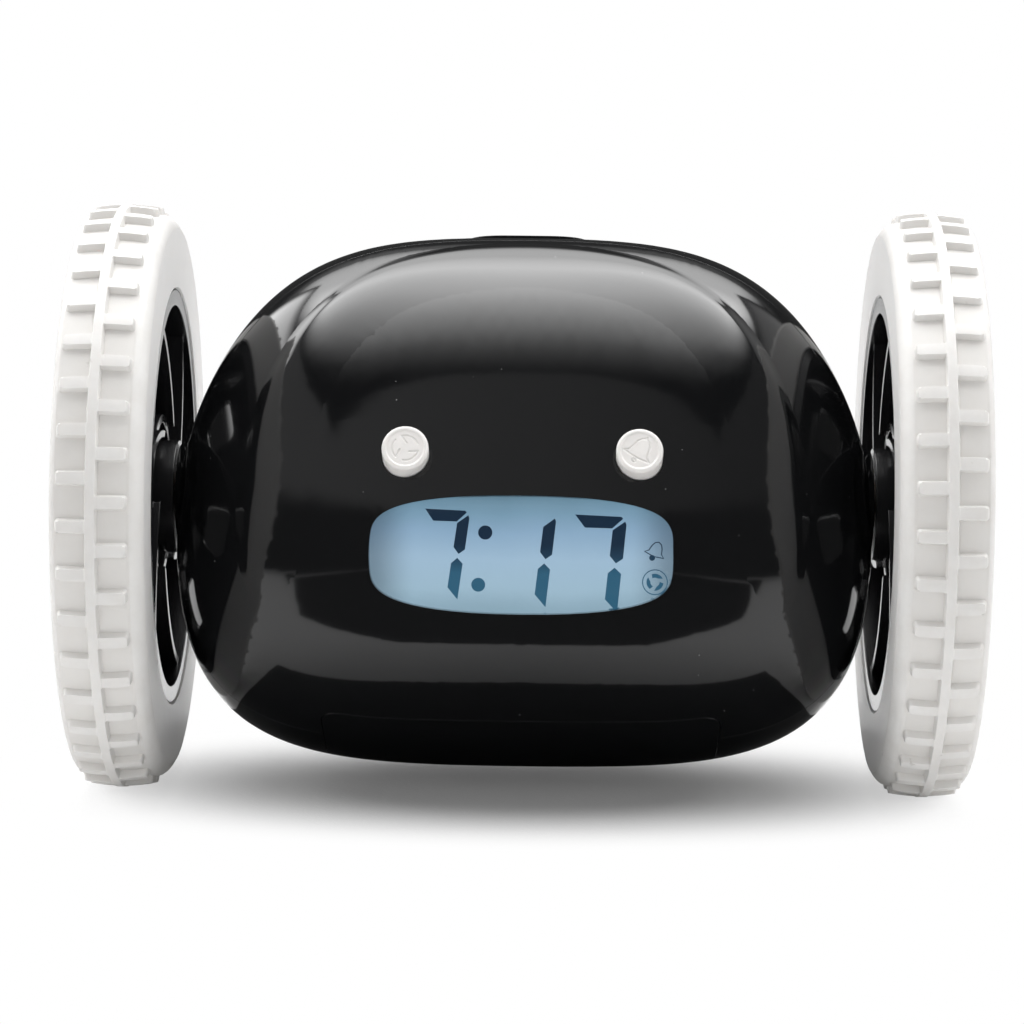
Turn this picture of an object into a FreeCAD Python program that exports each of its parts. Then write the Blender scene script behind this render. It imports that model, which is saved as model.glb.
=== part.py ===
import FreeCAD, Part
import math
import os

# Runaway alarm clock: a two-shell body that hangs between two driven wheels.
# Frame: +Z up, the wheel axle runs along X, the face looks along -Y.
# The origin lies on the floor, midway between the wheels and under the axle.
# All sizes are millimetres.

V = FreeCAD.Vector

# ---------------------------------------------------------------- clearances
SKIN_GAP = 0.15          # joint line between two visible mouldings
FIT_GAP = 0.05           # radial gap of a seated or pressed-in piece
RUN_GAP = 0.06           # radial gap of a shaft in its bush
SEAT_GAP = 0.1           # gap between stacked, screwed-down pieces
SIDE_GAP = 0.3           # gap beside anything that moves

# ------------------------------------------------------------------- wheels
WHEEL_DIAMETER = 88.9
OVERALL_WIDTH = 133.35
TYRE_WIDTH = 13.3
RIM_RADIUS = 31.6
RIM_WALL = 2.45
RIM_INNER_STEP = 0.3     # the rim stands this far outside the tyre's inner face
RIM_OUTER_STEP = 1.3     # and stops this far short of its outer face
BEAD_DEPTH = 0.6
BEAD_WIDTH = 5.0
INNER_CREASE = 40.9      # radius at which the side walls turn into the shoulders
OUTER_CREASE = 42.0
SHOULDER_BULGE = 0.65    # share of the shoulder's rise that lies in its first third
CROWN_DROP = 0.45        # fall of the tread's floor from the ridge to its edges
LUG_DROP = 0.1           # lugs stay this far below the ridge
TREAD_HEIGHT = 1.25
TREAD_HALF_WIDTH = 5.0
RIDGE_WIDTH = 1.6
RIDGE_SHIFT = 0.6        # the ridge lies this far outside the tyre's middle
LUG_COUNT = 40
LUG_LENGTH = 2.0         # along the rolling direction
LUG_ROUND = 0.45
WEB_THICKNESS = 2.2
WEB_DEPTH = 7.7          # from the rim's inner lip to the web
SPOKE_COUNT = 6
SPOKE_WIDTH = 1.6
SPOKE_LIP = 0.7          # spokes stop this far below the rim's lip
SPOKE_SWEEP = 52.0       # degrees turned between hub wall and rim
SPOKE_BEND = 0.7
HUB_WALL_RADIUS = 12.5
HUB_WALL = 1.3
HUB_WALL_LIP = 1.9
HUB_BOSS_RADIUS = 3.6
HUB_DRUM_RADIUS = 8.5    # closed drum that reaches back to the case
WINDOW_INNER_RADIUS = 15.0
WINDOW_OUTER_RADIUS = 25.0
WINDOW_ANGLE = 26.0
WINDOW_ROUND = 2.0
WINDOW_LEAD = 0.55       # windows follow the spokes by this share of their sweep
HUB_SCREW_RADIUS = 0.8
HUB_CAP_RADIUS = 7.0
HUB_CAP_THICKNESS = 1.6

# --------------------------------------------------------------------- body
BODY_HALF_LENGTH = 52.3
BODY_POLE_RUN = 0.4      # the skin would close this far beyond its end face
BODY_HALF_DEPTH = 38.0   # along the face's own axis
BODY_RISE = 38.9         # half height above the section centre
BODY_DROP = 37.3         # half height below it
BODY_CENTRE_DROP = 1.5   # section centre below the axle
FACE_TILT = 30.0         # the face looks up by this angle
SECTION_POWER = 2.7      # squareness of the cross-section
DEPTH_LAW = (2.2, 2.3)   # how depth, rise and drop fade towards the ends
RISE_LAW = (3.87, 1.44)
DROP_LAW = (4.55, 3.03)
SECTION_COUNT = 21
SECTION_POINTS = 40
WALL = 2.0
PARTING_AHEAD = 12.9     # parting plane in front of the axle, at axle height
PARTING_TILT = 9.7
LIP_LENGTH = 2.2
LIP_WALL = 1.2

# ------------------------------------------------------------ display window
DISPLAY_TILT = 5.0
DISPLAY_AHEAD = 32.4     # front of the glass in front of the axle
DISPLAY_DROP = 2.4       # middle of the display stack below the axle
WINDOW_HALF_WIDTH = 21.6
WINDOW_HALF_HEIGHT = 8.45
WINDOW_DROP = 0.45       # window centre below the middle of the display stack
WINDOW_POWERS = (2.3, 4.2)
WINDOW_POINTS = 48
LENS_SINK = 0.45
LENS_WALL = 1.0
LENS_FLANGE = 1.3
GLASS_WIDTH = 45.6
GLASS_HEIGHT = 18.8
GLASS_THICKNESS = 2.4
GLASS_DROP = 1.15        # glass centre below the middle of the stack
DIFFUSER_THICKNESS = 2.4
DIFFUSER_TOP_CUT = 1.6
ZEBRA_WIDTH = 2.0
HOLDER_WALL = 1.6
HOLDER_LIP = 0.4
BOARD_THICKNESS = 1.6
BOARD_WIDTH = 60.0
BOARD_TOP = 3.4          # above the window centre
BOARD_BOTTOM = 15.6      # below it
BOARD_POST_X = 27.0
BOARD_POST_TOP = 0.6
BOARD_POST_BOTTOM = 12.6
POST_RADIUS = 2.3
CAPACITOR_RADIUS = 2.5
CAPACITOR_HEIGHT = 4.5

# ------------------------------------------------------------- push buttons
BUTTON_TRAVEL = 0.6
SWITCH_SIZE = 4.5
SWITCH_HEIGHT = 2.6
SWITCH_PLUNGER_RADIUS = 1.0
SWITCH_PLUNGER = 0.9
BUTTON_EDGE = 0.4
BUTTON_DISH = 0.2
BUTTON_DISH_SHARE = 0.8
STEM_RADIUS = 1.4
FLANGE_WALL = 0.8
FLANGE_RIM = 1.0
FLANGE_DEPTH = 1.2       # flange behind the inner wall, on the button's axis
KEY_BOARD_THICKNESS = 1.2

EYE_SPACING = 33.3
EYE_HEIGHT = 11.4        # above the axle, on the skin
EYE_TILT = 28.0
EYE_RADIUS = 3.35
EYE_PROUD = 2.7
EYE_STEM = 3.6
EYE_BOARD_WIDTH = 46.0
EYE_BOARD_BELOW = 3.6
EYE_BOARD_ABOVE = 6.6
EYE_POST_X = 7.0
EYE_POST_RISE = 4.0

SET_SPACING = 13.0
SET_HEIGHT = 9.5
SET_TILT = 15.0
SET_RADIUS = 2.8
SET_PROUD = 1.0
SET_STEM = 2.4
SET_BOARD_WIDTH = 50.0
SET_BOARD_HALF = 4.6

SNOOZE_Y = 7.0
SNOOZE_LENGTH = 19.0
SNOOZE_WIDTH = 12.0
SNOOZE_PROUD = 0.5
SNOOZE_STEM = 5.0
SNOOZE_BOARD_LENGTH = 13.0

# ---------------------------------------------------------------- batteries
CELL_DIAMETER = 10.5
CELL_LENGTH = 44.5
CELL_NUB_RADIUS = 1.9
CELL_NUB = 0.9
CELL_COUNT = 4
CELL_ARC = 31.0          # cell centres lie this far from the axle
CELL_SPACE = 1.2
CELL_CENTRE_ANGLE = -1.0 # positive towards the back
CELL_CLEAR = 0.35
TRAY_WALL = 1.6
TRAY_RIB_CUT = 2.0
TRAY_FLANGE = 2.6
SPRING_LENGTH = 4.0
SPRING_RADIUS = 3.2
SPRING_WIRE = 0.35
SPRING_TURNS = 4
SPRING_BENDS = 12        # straight runs in one turn of the wire
CONTACT_THICKNESS = 0.4
CONTACT_SIZE = 7.6
DOOR_TOP = 20.0          # the opening is cut below this depth under the axle
DOOR_HALF_WIDTH = 29.5
DOOR_FRONT = 26.5
DOOR_BACK = 27.5
DOOR_CORNER = 3.0
DOOR_TONGUE_X = 12.0
DOOR_TONGUE_WIDTH = 8.0
DOOR_TONGUE_REACH = 2.6
DOOR_SCREW_Y = 24.9
DOOR_SHELF_WIDTH = 9.0
DOOR_SHELF_REACH = 2.6
DOOR_SHELF_WALL = 2.6

# ----------------------------------------------------------------- gearboxes
GEAR_MODULE = 0.5
PRESSURE_ANGLE = 20.0
PINION_TEETH = 10
WHEEL_TEETH = 30
OUTPUT_TEETH = 36
BACKLASH = 0.08
WHEEL_ADDENDUM = 0.8     # in modules, shortened to clear the small pinions
PINION_ADDENDUM = 1.0
DEDENDUM = 1.25
GEAR_FACE = 3.0
LAYER_GAP = 0.5
GEARBOX_START = 29.5     # inner face of the motor plate from the mid plane
PLATE = 1.5
IDLER_2_ANGLE = -20.0    # seen from the axle, 0 is straight back
IDLER_1_ANGLE = 100.0    # seen from idler 2
MOTOR_ANGLE = 143.0      # seen from idler 1
GEAR_ROOM = 0.6
GEAR_PIN_RADIUS = 0.75
PIN_BOSS_RADIUS = 2.2
MOTOR_RADIUS = 10.05
MOTOR_FLAT = 15.1
MOTOR_LENGTH = 25.0
MOTOR_SHAFT_RADIUS = 1.0
MOTOR_NOSE_RADIUS = 3.1
MOTOR_NOSE = 1.2
MOTOR_SEAT_RADIUS = 8.0
MOTOR_TERMINAL = 2.0
COVER_SCREW_ANGLES = (200.0, 250.0, 20.0)
AXLE_RADIUS = 1.5
BUSH_WALL = 1.4
BUSH_FLANGE = 0.45
BUSH_FLANGE_RIM = 0.7
AXLE_BOSS_RADIUS = 5.2
EAR_TOP = 21.2
EAR_BOTTOM = 17.6
EAR_FRONT = 1.0          # front face of the ears behind the axle
EAR_THICKNESS = 2.5
EAR_HALF = 2.6

# ------------------------------------------------------------------ fasteners
SCREW_RADIUS = 1.0
SCREW_HEAD_RADIUS = 1.9
SCREW_HEAD = 1.3
SCREW_LENGTH = 6.0
CASE_SCREW_RADIUS = 1.3
CASE_SCREW_HEAD_RADIUS = 2.5
CASE_SCREW_HEAD = 1.8
CASE_SCREW_LENGTH = 11.0
CASE_SCREW_SEAT = 6.0    # seat behind the parting plane
CASE_BOSS_RADIUS = 4.2
UPPER_SCREW = (22.0, 27.0)
LOWER_SCREW = (40.5, -22.0)

# ------------------------------------------------------------------- speaker
SPEAKER_RADIUS = 10.0
SPEAKER_DEPTH = 4.5
SPEAKER_HEIGHT = -12.0
SPEAKER_TILT = -28.0
SPEAKER_SEAT = 1.4
SPEAKER_RIM = 1.2
SOUND_HOLE_RADIUS = 0.8
SOUND_HOLE_COUNT = 6
SOUND_HOLE_RING = 4.0

# --------------------------------------------------------- derived positions
AXLE_Z = WHEEL_DIAMETER / 2
TYRE_OUT = OVERALL_WIDTH / 2
TYRE_IN = TYRE_OUT - TYRE_WIDTH
TYRE_MID = TYRE_OUT - TYRE_WIDTH / 2
RIDGE_MID = TYRE_MID + RIDGE_SHIFT
RIM_IN = TYRE_IN + RIM_INNER_STEP
RIM_OUT = TYRE_OUT - RIM_OUTER_STEP
WEB_IN = RIM_IN + WEB_DEPTH
WEB_OUT = WEB_IN + WEB_THICKNESS
BODY_POLE = BODY_HALF_LENGTH + BODY_POLE_RUN
FAR = 2 * OVERALL_WIDTH


def rotate_point(y, z, degrees):
    """Turn a (y, z) pair about the X axis."""
    angle = math.radians(degrees)
    return (y * math.cos(angle) - z * math.sin(angle),
            y * math.sin(angle) + z * math.cos(angle))


def box(x0, x1, y0, y1, z0, z1):
    return Part.makeBox(x1 - x0, y1 - y0, z1 - z0, V(x0, y0, z0))


def rod(radius, x0, x1, y=0.0, z=AXLE_Z):
    """Cylinder along X."""
    return Part.makeCylinder(radius, x1 - x0, V(x0, y, z), V(1, 0, 0))


def tube(outer, inner, x0, x1, y=0.0, z=AXLE_Z):
    return rod(outer, x0, x1, y, z).cut(rod(inner, x0 - 1, x1 + 1, y, z))


def union(shapes):
    shapes = list(shapes)
    if len(shapes) == 1:
        return shapes[0]
    return shapes[0].multiFuse(shapes[1:]).removeSplitter()


def joined(shapes):
    """Union made one piece at a time, for pieces that carry the curved skin."""
    shape = shapes[0]
    for piece in shapes[1:]:
        shape = shape.fuse(piece)
    return shape


def group(shapes):
    return Part.makeCompound(list(shapes))


def mirrored(shape):
    return shape.mirror(V(0, 0, 0), V(1, 0, 0))


def face_of(wire):
    return Part.Face(wire)


class Direction:
    """Local frame on the body: X across, 'up' along the surface, 'out' away from it."""

    def __init__(self, origin, tilt, towards_back=False):
        angle = math.radians(tilt)
        side = 1 if towards_back else -1
        self.origin = origin
        self.out = V(0, side * math.cos(angle), math.sin(angle))
        self.up = V(0, -side * math.sin(angle), math.cos(angle))

    def at(self, x, up, out):
        return self.origin + V(x, 0, 0) + self.up * up + self.out * out

    def slab(self, x0, x1, up0, up1, out0, out1):
        """Rectangular block in this frame."""
        corners = [self.at(x0, up0, out0), self.at(x1, up0, out0),
                   self.at(x1, up1, out0), self.at(x0, up1, out0)]
        wire = Part.makePolygon(corners + corners[:1])
        return face_of(wire).extrude(self.out * (out1 - out0))

    def pin(self, radius, x, up, out0, out1):
        """Cylinder along the outward direction."""
        return Part.makeCylinder(radius, out1 - out0, self.at(x, up, out0), self.out)


# --------------------------------------------------------------------- skin
def fade(x, half_length, law):
    """Share of the full size that is left at distance x from the mid plane."""
    inside = 1 - (abs(x) / half_length) ** law[0]
    return max(inside, 0.0) ** (1 / law[1])


def skin_sizes(x, inset):
    """Half depth, rise and drop of the cross-section at x, moved inwards by inset."""
    pole = BODY_POLE - inset
    return ((BODY_HALF_DEPTH - inset) * fade(x, pole, DEPTH_LAW),
            (BODY_RISE - inset) * fade(x, pole, RISE_LAW),
            (BODY_DROP - inset) * fade(x, pole, DROP_LAW))


def skin_wire(x, inset):
    """Closed smooth cross-section of the body at x."""
    depth, rise, drop = skin_sizes(x, inset)
    points = []
    for index in range(SECTION_POINTS):
        angle = 2 * math.pi * index / SECTION_POINTS
        cosine = math.cos(angle)
        sine = math.sin(angle)
        reach = (abs(cosine) ** SECTION_POWER + abs(sine) ** SECTION_POWER) ** (-1 / SECTION_POWER)
        height = rise if sine > 0 else drop
        y, z = rotate_point(-depth * reach * cosine, height * reach * sine, -FACE_TILT)
        points.append(V(x, y, AXLE_Z - BODY_CENTRE_DROP + z))
    curve = Part.BSplineCurve()
    stations = [float(index) for index in range(SECTION_POINTS + 1)]
    curve.interpolate(Points=points, PeriodicFlag=True, Parameters=stations)
    return Part.Wire([curve.toShape()])


SKIN_CACHE = {}


def skin_solid(inset):
    """Solid bounded by the body's skin, moved inwards by inset."""
    key = round(inset, 4)
    if key not in SKIN_CACHE:
        reach = BODY_HALF_LENGTH - inset
        wires = []
        for index in range(SECTION_COUNT):
            angle = math.pi * (index / (SECTION_COUNT - 1) - 0.5)
            wires.append(skin_wire(reach * math.sin(angle), inset))
        SKIN_CACHE[key] = Part.makeLoft(wires, True, False)
    return SKIN_CACHE[key].copy()


def is_inside(point, inset):
    """True where the point lies inside the skin moved inwards by inset."""
    depth, rise, drop = skin_sizes(point.x, inset)
    y, z = rotate_point(point.y, point.z - AXLE_Z + BODY_CENTRE_DROP, FACE_TILT)
    height = rise if z > 0 else drop
    if min(depth, height) <= 0:
        return False
    return (abs(y) / depth) ** SECTION_POWER + (abs(z) / height) ** SECTION_POWER < 1


def skin_point(start, direction, inset=0.0):
    """Where a ray from an inner point leaves the skin."""
    low = 0.0
    high = FAR
    for _ in range(50):
        middle = (low + high) / 2
        if is_inside(start + direction * middle, inset):
            low = middle
        else:
            high = middle
    return start + direction * low


def inner_ring(near, far):
    """Layer of the body between two insets."""
    return skin_solid(near).cut(skin_solid(far))


# ------------------------------------------------------------------- parting
def parting_frame():
    return Direction(V(0, -PARTING_AHEAD, AXLE_Z), PARTING_TILT)


def parting_slab(out0, out1):
    """Everything between two planes parallel to the parting plane."""
    return parting_frame().slab(-FAR, FAR, -FAR, FAR, out0, out1)


# ----------------------------------------------------------- battery opening
def door_prism(grow):
    """Vertical rounded block that cuts the battery opening."""
    block = box(-DOOR_HALF_WIDTH - grow, DOOR_HALF_WIDTH + grow,
                -DOOR_FRONT - grow, DOOR_BACK + grow, -FAR, AXLE_Z - DOOR_TOP)
    upright = [edge for edge in block.Edges
               if abs(edge.Vertexes[0].Z - edge.Vertexes[1].Z) > 1]
    return block.makeFillet(DOOR_CORNER + grow, upright)


def door_shelf_block(grow):
    """Part of the body taken by the shelf of the door screw, with room all round."""
    half = DOOR_SHELF_WIDTH / 2 + grow
    block = box(-half, half, DOOR_SCREW_Y - DOOR_SHELF_REACH - grow,
                DOOR_BACK + DOOR_SHELF_REACH + grow, -FAR, AXLE_Z - DOOR_TOP + grow)
    return block.cut(skin_solid(WALL + SEAT_GAP + DOOR_SHELF_WALL + grow))


def door_shelf():
    """Lug of the rear shell that takes the door screw."""
    lug = door_shelf_block(0).common(skin_solid(WALL / 2))
    over_door = box(-FAR, FAR, 0, DOOR_BACK + SEAT_GAP, -FAR, AXLE_Z)
    return lug.cut(inner_ring(0, WALL + SEAT_GAP).common(over_door))


def door_screw_frame():
    """Frame of the door screw, square to the skin."""
    under = [skin_point(V(0, DOOR_SCREW_Y + step, AXLE_Z - DOOR_TOP), V(0, 0, -1))
             for step in (-1, 0, 1)]
    slope = under[2] - under[0]
    return Direction(under[1], math.degrees(math.atan2(-slope.y, slope.z)), True)


def door_screw_seat():
    return -SCREW_HEAD - SEAT_GAP


def door_tongue_block(side, grow):
    """Part of the body taken by a front tongue of the door."""
    half = DOOR_TONGUE_WIDTH / 2 + grow
    centre = side * DOOR_TONGUE_X
    reach = DOOR_TONGUE_REACH + grow
    block = box(centre - half, centre + half, -DOOR_FRONT - reach, -DOOR_FRONT + reach,
                -FAR, AXLE_Z - DOOR_TOP)
    return block.cut(skin_solid(WALL + SEAT_GAP + LIP_WALL + grow))


def battery_door():
    """Curved door with two tongues in front and a countersunk screw at the back."""
    skin = inner_ring(0, WALL).common(door_prism(-SKIN_GAP))
    relief = inner_ring(0, WALL + SEAT_GAP).common(box(-FAR, FAR, -FAR, -DOOR_FRONT + 2 * SKIN_GAP,
                                                       -FAR, AXLE_Z))
    tongues = [door_tongue_block(side, 0).common(skin_solid(WALL / 2)).cut(relief)
               for side in (-1, 1)]
    frame = door_screw_frame()
    sink = frame.pin(SCREW_HEAD_RADIUS + SKIN_GAP, 0, 0, door_screw_seat(), WALL)
    hole = frame.pin(SCREW_RADIUS + SKIN_GAP, 0, 0, -2 * WALL, WALL)
    return joined([skin] + tongues).cut(sink).cut(hole)


def door_screw():
    frame = door_screw_frame()
    seat = door_screw_seat()
    return union([frame.pin(SCREW_HEAD_RADIUS, 0, 0, seat, seat + SCREW_HEAD),
                  frame.pin(SCREW_RADIUS, 0, 0, seat - SCREW_LENGTH / 2, seat)])


# ------------------------------------------------------------- display stack
def display_frame():
    return Direction(V(0, -DISPLAY_AHEAD, AXLE_Z - DISPLAY_DROP), DISPLAY_TILT)


def window_prism(grow):
    """Barrel-shaped block through the face, square to the display."""
    frame = display_frame()
    points = []
    for index in range(WINDOW_POINTS):
        angle = 2 * math.pi * (index + 0.5) / WINDOW_POINTS
        across = math.copysign(abs(math.cos(angle)) ** (2 / WINDOW_POWERS[0]), math.cos(angle))
        upward = math.copysign(abs(math.sin(angle)) ** (2 / WINDOW_POWERS[1]), math.sin(angle))
        points.append(frame.at((WINDOW_HALF_WIDTH + grow) * across,
                               (WINDOW_HALF_HEIGHT + grow) * upward - WINDOW_DROP,
                               -GLASS_THICKNESS))
    curve = Part.BSplineCurve()
    curve.interpolate(Points=points, PeriodicFlag=True)
    return face_of(Part.Wire([curve.toShape()])).extrude(frame.out * BODY_HALF_DEPTH)


def lcd_lens():
    back = WALL + SEAT_GAP + LENS_WALL
    plug = inner_ring(LENS_SINK, back).common(window_prism(-SKIN_GAP))
    flange = inner_ring(WALL + SEAT_GAP, back).common(window_prism(LENS_FLANGE))
    return joined([plug, flange.cut(eye_room())])


def glass_box(grow, out0, out1, top_cut=0.0, bottom_cut=0.0):
    half = GLASS_WIDTH / 2 + grow
    return display_frame().slab(-half, half, -GLASS_DROP - GLASS_HEIGHT / 2 - grow + bottom_cut,
                                -GLASS_DROP + GLASS_HEIGHT / 2 + grow - top_cut, out0, out1)


def diffuser_back():
    return -(GLASS_THICKNESS + SEAT_GAP + DIFFUSER_THICKNESS)


def board_front():
    return diffuser_back() - SEAT_GAP


def lcd_panel():
    return glass_box(0, -GLASS_THICKNESS, 0)


def backlight_diffuser():
    return glass_box(-SEAT_GAP, diffuser_back(), -GLASS_THICKNESS - SEAT_GAP,
                     DIFFUSER_TOP_CUT, ZEBRA_WIDTH + 2 * SEAT_GAP)


def zebra_strip():
    """Rubber connector between the glass and the board, along the lower edge."""
    bottom = -GLASS_DROP - GLASS_HEIGHT / 2
    half = GLASS_WIDTH / 2 - HOLDER_WALL
    return display_frame().slab(-half, half, bottom + SEAT_GAP, bottom + SEAT_GAP + ZEBRA_WIDTH,
                                board_front() + SEAT_GAP / 2, -GLASS_THICKNESS - SEAT_GAP / 2)


def eye_room():
    """Space that the two face buttons sweep behind the skin."""
    frame = eye_frame()
    flange_back = -button_flange_back()
    spaces = []
    for x in eye_places():
        spaces.append(frame.pin(EYE_RADIUS + FLANGE_RIM + SIDE_GAP, x, 0,
                                flange_back - BUTTON_TRAVEL - SIDE_GAP, EYE_PROUD))
        spaces.append(frame.pin(STEM_RADIUS + SIDE_GAP, x, 0,
                                flange_back - EYE_STEM - SWITCH_HEIGHT, 0))
        half = SWITCH_SIZE / 2 + SIDE_GAP
        board = -key_board_level(EYE_STEM)
        spaces.append(frame.slab(x - half, x + half, -half, half, board,
                                 board + SWITCH_HEIGHT + SIDE_GAP))
    return union(spaces)


def lcd_holder():
    """Moulded frame that holds the glass and the diffuser against the board."""
    outer = glass_box(HOLDER_WALL, board_front() + SEAT_GAP, SEAT_GAP + HOLDER_LIP)
    pocket = glass_box(FIT_GAP, board_front() - 1, SEAT_GAP)
    opening = glass_box(-HOLDER_LIP, -1, 1)
    frame = outer.cut(pocket).cut(opening)
    frame = frame.common(skin_solid(WALL + LENS_WALL + 3 * SEAT_GAP))
    return frame.cut(eye_room())


def board_posts():
    """(x, up) of the four posts of the display board."""
    return [(side * BOARD_POST_X, up) for side in (-1, 1)
            for up in (BOARD_POST_TOP, -BOARD_POST_BOTTOM)]


def screw(frame, x, up, seat, length=SCREW_LENGTH):
    """Pan-head screw driven outwards, its head seated at 'seat'."""
    head = frame.pin(SCREW_HEAD_RADIUS, x, up, seat - SCREW_HEAD, seat)
    shank = frame.pin(SCREW_RADIUS, x, up, seat, seat + length)
    return union([head, shank])


def post(frame, x, up, start, bore=SCREW_LENGTH):
    """Screw post from 'start' out to the shell wall, with its bore."""
    column = frame.pin(POST_RADIUS, x, up, start, start + BODY_HALF_DEPTH)
    column = column.common(skin_solid(WALL / 2))
    return column, frame.pin(SCREW_RADIUS + FIT_GAP, x, up, start - 1, start + bore)


def main_board():
    frame = display_frame()
    front = board_front()
    half = BOARD_WIDTH / 2
    board = frame.slab(-half, half, -BOARD_BOTTOM, BOARD_TOP, front - BOARD_THICKNESS, front)
    holes = [frame.pin(SCREW_RADIUS + SKIN_GAP, x, up, front - BOARD_THICKNESS - 1, front + 1)
             for x, up in board_posts()]
    return board.cut(group(holes))


def board_parts():
    """Clock chip, driver chip, crystal, capacitors and plugs on the board's back."""
    frame = display_frame()
    seat = board_front() - BOARD_THICKNESS
    placed = [
        (-8.0, -7.0, 12.0, 12.0, 1.4),
        (9.0, -6.0, 7.0, 5.0, 1.2),
        (18.0, -9.5, 4.0, 9.0, 2.2),
        (1.5, 0.5, 6.5, 2.4, 2.4),
        (-20.0, -6.0, 5.0, 7.5, 3.6),
        (8.5, -12.5, 3.0, 1.6, 1.0),
        (13.0, -12.5, 3.0, 1.6, 1.0),
    ]
    parts = []
    for x, up, width, height, depth in placed:
        parts.append(frame.slab(x - width / 2, x + width / 2, up - height / 2, up + height / 2,
                                seat - depth, seat))
    parts.append(frame.pin(CAPACITOR_RADIUS, 22.5, -3.5, seat - CAPACITOR_HEIGHT, seat))
    return group(parts)


# -------------------------------------------------------------- push buttons
def button_flange_back():
    """Depth of the flange's back below the skin."""
    return WALL + FLANGE_DEPTH + FLANGE_WALL


def switch_level(stem):
    """Depth at which the tip of a switch waits for a stem of this length."""
    return button_flange_back() + stem + BUTTON_TRAVEL + FIT_GAP


def key_board_level(stem):
    return switch_level(stem) + SWITCH_PLUNGER + SWITCH_HEIGHT


def skin_level(frame, x, inset=0.0):
    """How far out the skin lies at x in this frame."""
    start = frame.at(x, 0, -BODY_HALF_DEPTH / 2)
    return (skin_point(start, frame.out, inset) - frame.origin).dot(frame.out)


def eye_places():
    return (-EYE_SPACING / 2, EYE_SPACING / 2)


def eye_frame():
    start = V(EYE_SPACING / 2, 0, AXLE_Z + EYE_HEIGHT)
    hit = skin_point(start, V(0, -1, 0))
    return Direction(V(0, hit.y, hit.z), EYE_TILT)


def set_places():
    return tuple((index - 1.5) * SET_SPACING for index in range(4))


def set_frame():
    start = V(SET_SPACING / 2, 0, AXLE_Z + SET_HEIGHT)
    hit = skin_point(start, V(0, 1, 0))
    return Direction(V(0, hit.y, hit.z), SET_TILT, True)


def snooze_frame():
    hit = skin_point(V(0, SNOOZE_Y, AXLE_Z), V(0, 0, 1))
    return Direction(hit, 90)


def push_button(frame, x, radius, proud, stem):
    """Round button: domed cap, retaining flange behind the wall and a stem."""
    level = skin_level(frame, x)
    back = level - button_flange_back()
    cap = frame.pin(radius, x, 0, back, level + proud)
    top = [edge for edge in cap.Edges
           if abs((edge.CenterOfMass - frame.origin).dot(frame.out) - level - proud) < FIT_GAP]
    cap = cap.makeFillet(BUTTON_EDGE, top)
    dish = frame.pin(radius * BUTTON_DISH_SHARE, x, 0, level + proud - BUTTON_DISH, level + proud + 1)
    flange = frame.pin(radius + FLANGE_RIM, x, 0, back, level).common(skin_solid(WALL + SEAT_GAP))
    rod_stem = frame.pin(STEM_RADIUS, x, 0, -button_flange_back() - stem, back)
    return joined([cap.cut(dish), flange, rod_stem])


def push_switch(frame, x, stem):
    """Square push switch standing on its board."""
    board = -key_board_level(stem)
    half = SWITCH_SIZE / 2
    body = frame.slab(x - half, x + half, -half, half, board, board + SWITCH_HEIGHT)
    plunger = frame.pin(SWITCH_PLUNGER_RADIUS, x, 0, board + SWITCH_HEIGHT,
                        board + SWITCH_HEIGHT + SWITCH_PLUNGER)
    return union([body, plunger])


def button_hole(frame, x, radius):
    return frame.pin(radius + SKIN_GAP, x, 0, -BODY_HALF_DEPTH / 3, BODY_HALF_DEPTH)


def key_board(frame, half_length, below, above, stem, posts):
    """Small board behind a row of buttons, with its screw holes."""
    front = -key_board_level(stem)
    board = frame.slab(-half_length, half_length, -below, above,
                       front - KEY_BOARD_THICKNESS, front)
    for x, up in posts:
        board = board.cut(frame.pin(SCREW_RADIUS + SKIN_GAP, x, up,
                                    front - KEY_BOARD_THICKNESS - 1, front + 1))
    return board


def eye_posts():
    return [(side * EYE_POST_X, EYE_POST_RISE) for side in (-1, 1)]


def set_posts():
    return [(side * SET_SPACING, 0.0) for side in (-1, 1)]


def snooze_posts():
    reach = SNOOZE_WIDTH / 2 + FLANGE_RIM + SIDE_GAP + POST_RADIUS
    return [(0.0, side * reach) for side in (-1, 1)]


def run_button():
    return push_button(eye_frame(), eye_places()[0], EYE_RADIUS, EYE_PROUD, EYE_STEM)


def alarm_button():
    return push_button(eye_frame(), eye_places()[1], EYE_RADIUS, EYE_PROUD, EYE_STEM)


def set_button(index):
    return push_button(set_frame(), set_places()[index], SET_RADIUS, SET_PROUD, SET_STEM)


def snooze_prism(grow):
    """Upright pill-shaped block through the top of the rear shell."""
    half = SNOOZE_WIDTH / 2 + grow
    reach = (SNOOZE_LENGTH - SNOOZE_WIDTH) / 2
    floor = AXLE_Z + BODY_RISE / 2
    middle = box(-reach, reach, SNOOZE_Y - half, SNOOZE_Y + half, floor, FAR)
    ends = [Part.makeCylinder(half, FAR - floor, V(side * reach, SNOOZE_Y, floor))
            for side in (-1, 1)]
    return union([middle] + ends)


def snooze_button():
    back = WALL + SEAT_GAP + FLANGE_WALL
    frame = snooze_frame()
    cap = inner_ring(-SNOOZE_PROUD, back).common(snooze_prism(-SKIN_GAP))
    flange = inner_ring(WALL + SEAT_GAP, back).common(snooze_prism(FLANGE_RIM))
    rod_stem = frame.pin(STEM_RADIUS, 0, 0, -button_flange_back() - SNOOZE_STEM, -WALL)
    return joined([cap, flange, rod_stem])


def tact_switches():
    """The seven identical push switches."""
    switches = [push_switch(eye_frame(), x, EYE_STEM) for x in eye_places()]
    switches += [push_switch(set_frame(), x, SET_STEM) for x in set_places()]
    switches.append(push_switch(snooze_frame(), 0, SNOOZE_STEM))
    return group(switches)


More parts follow.
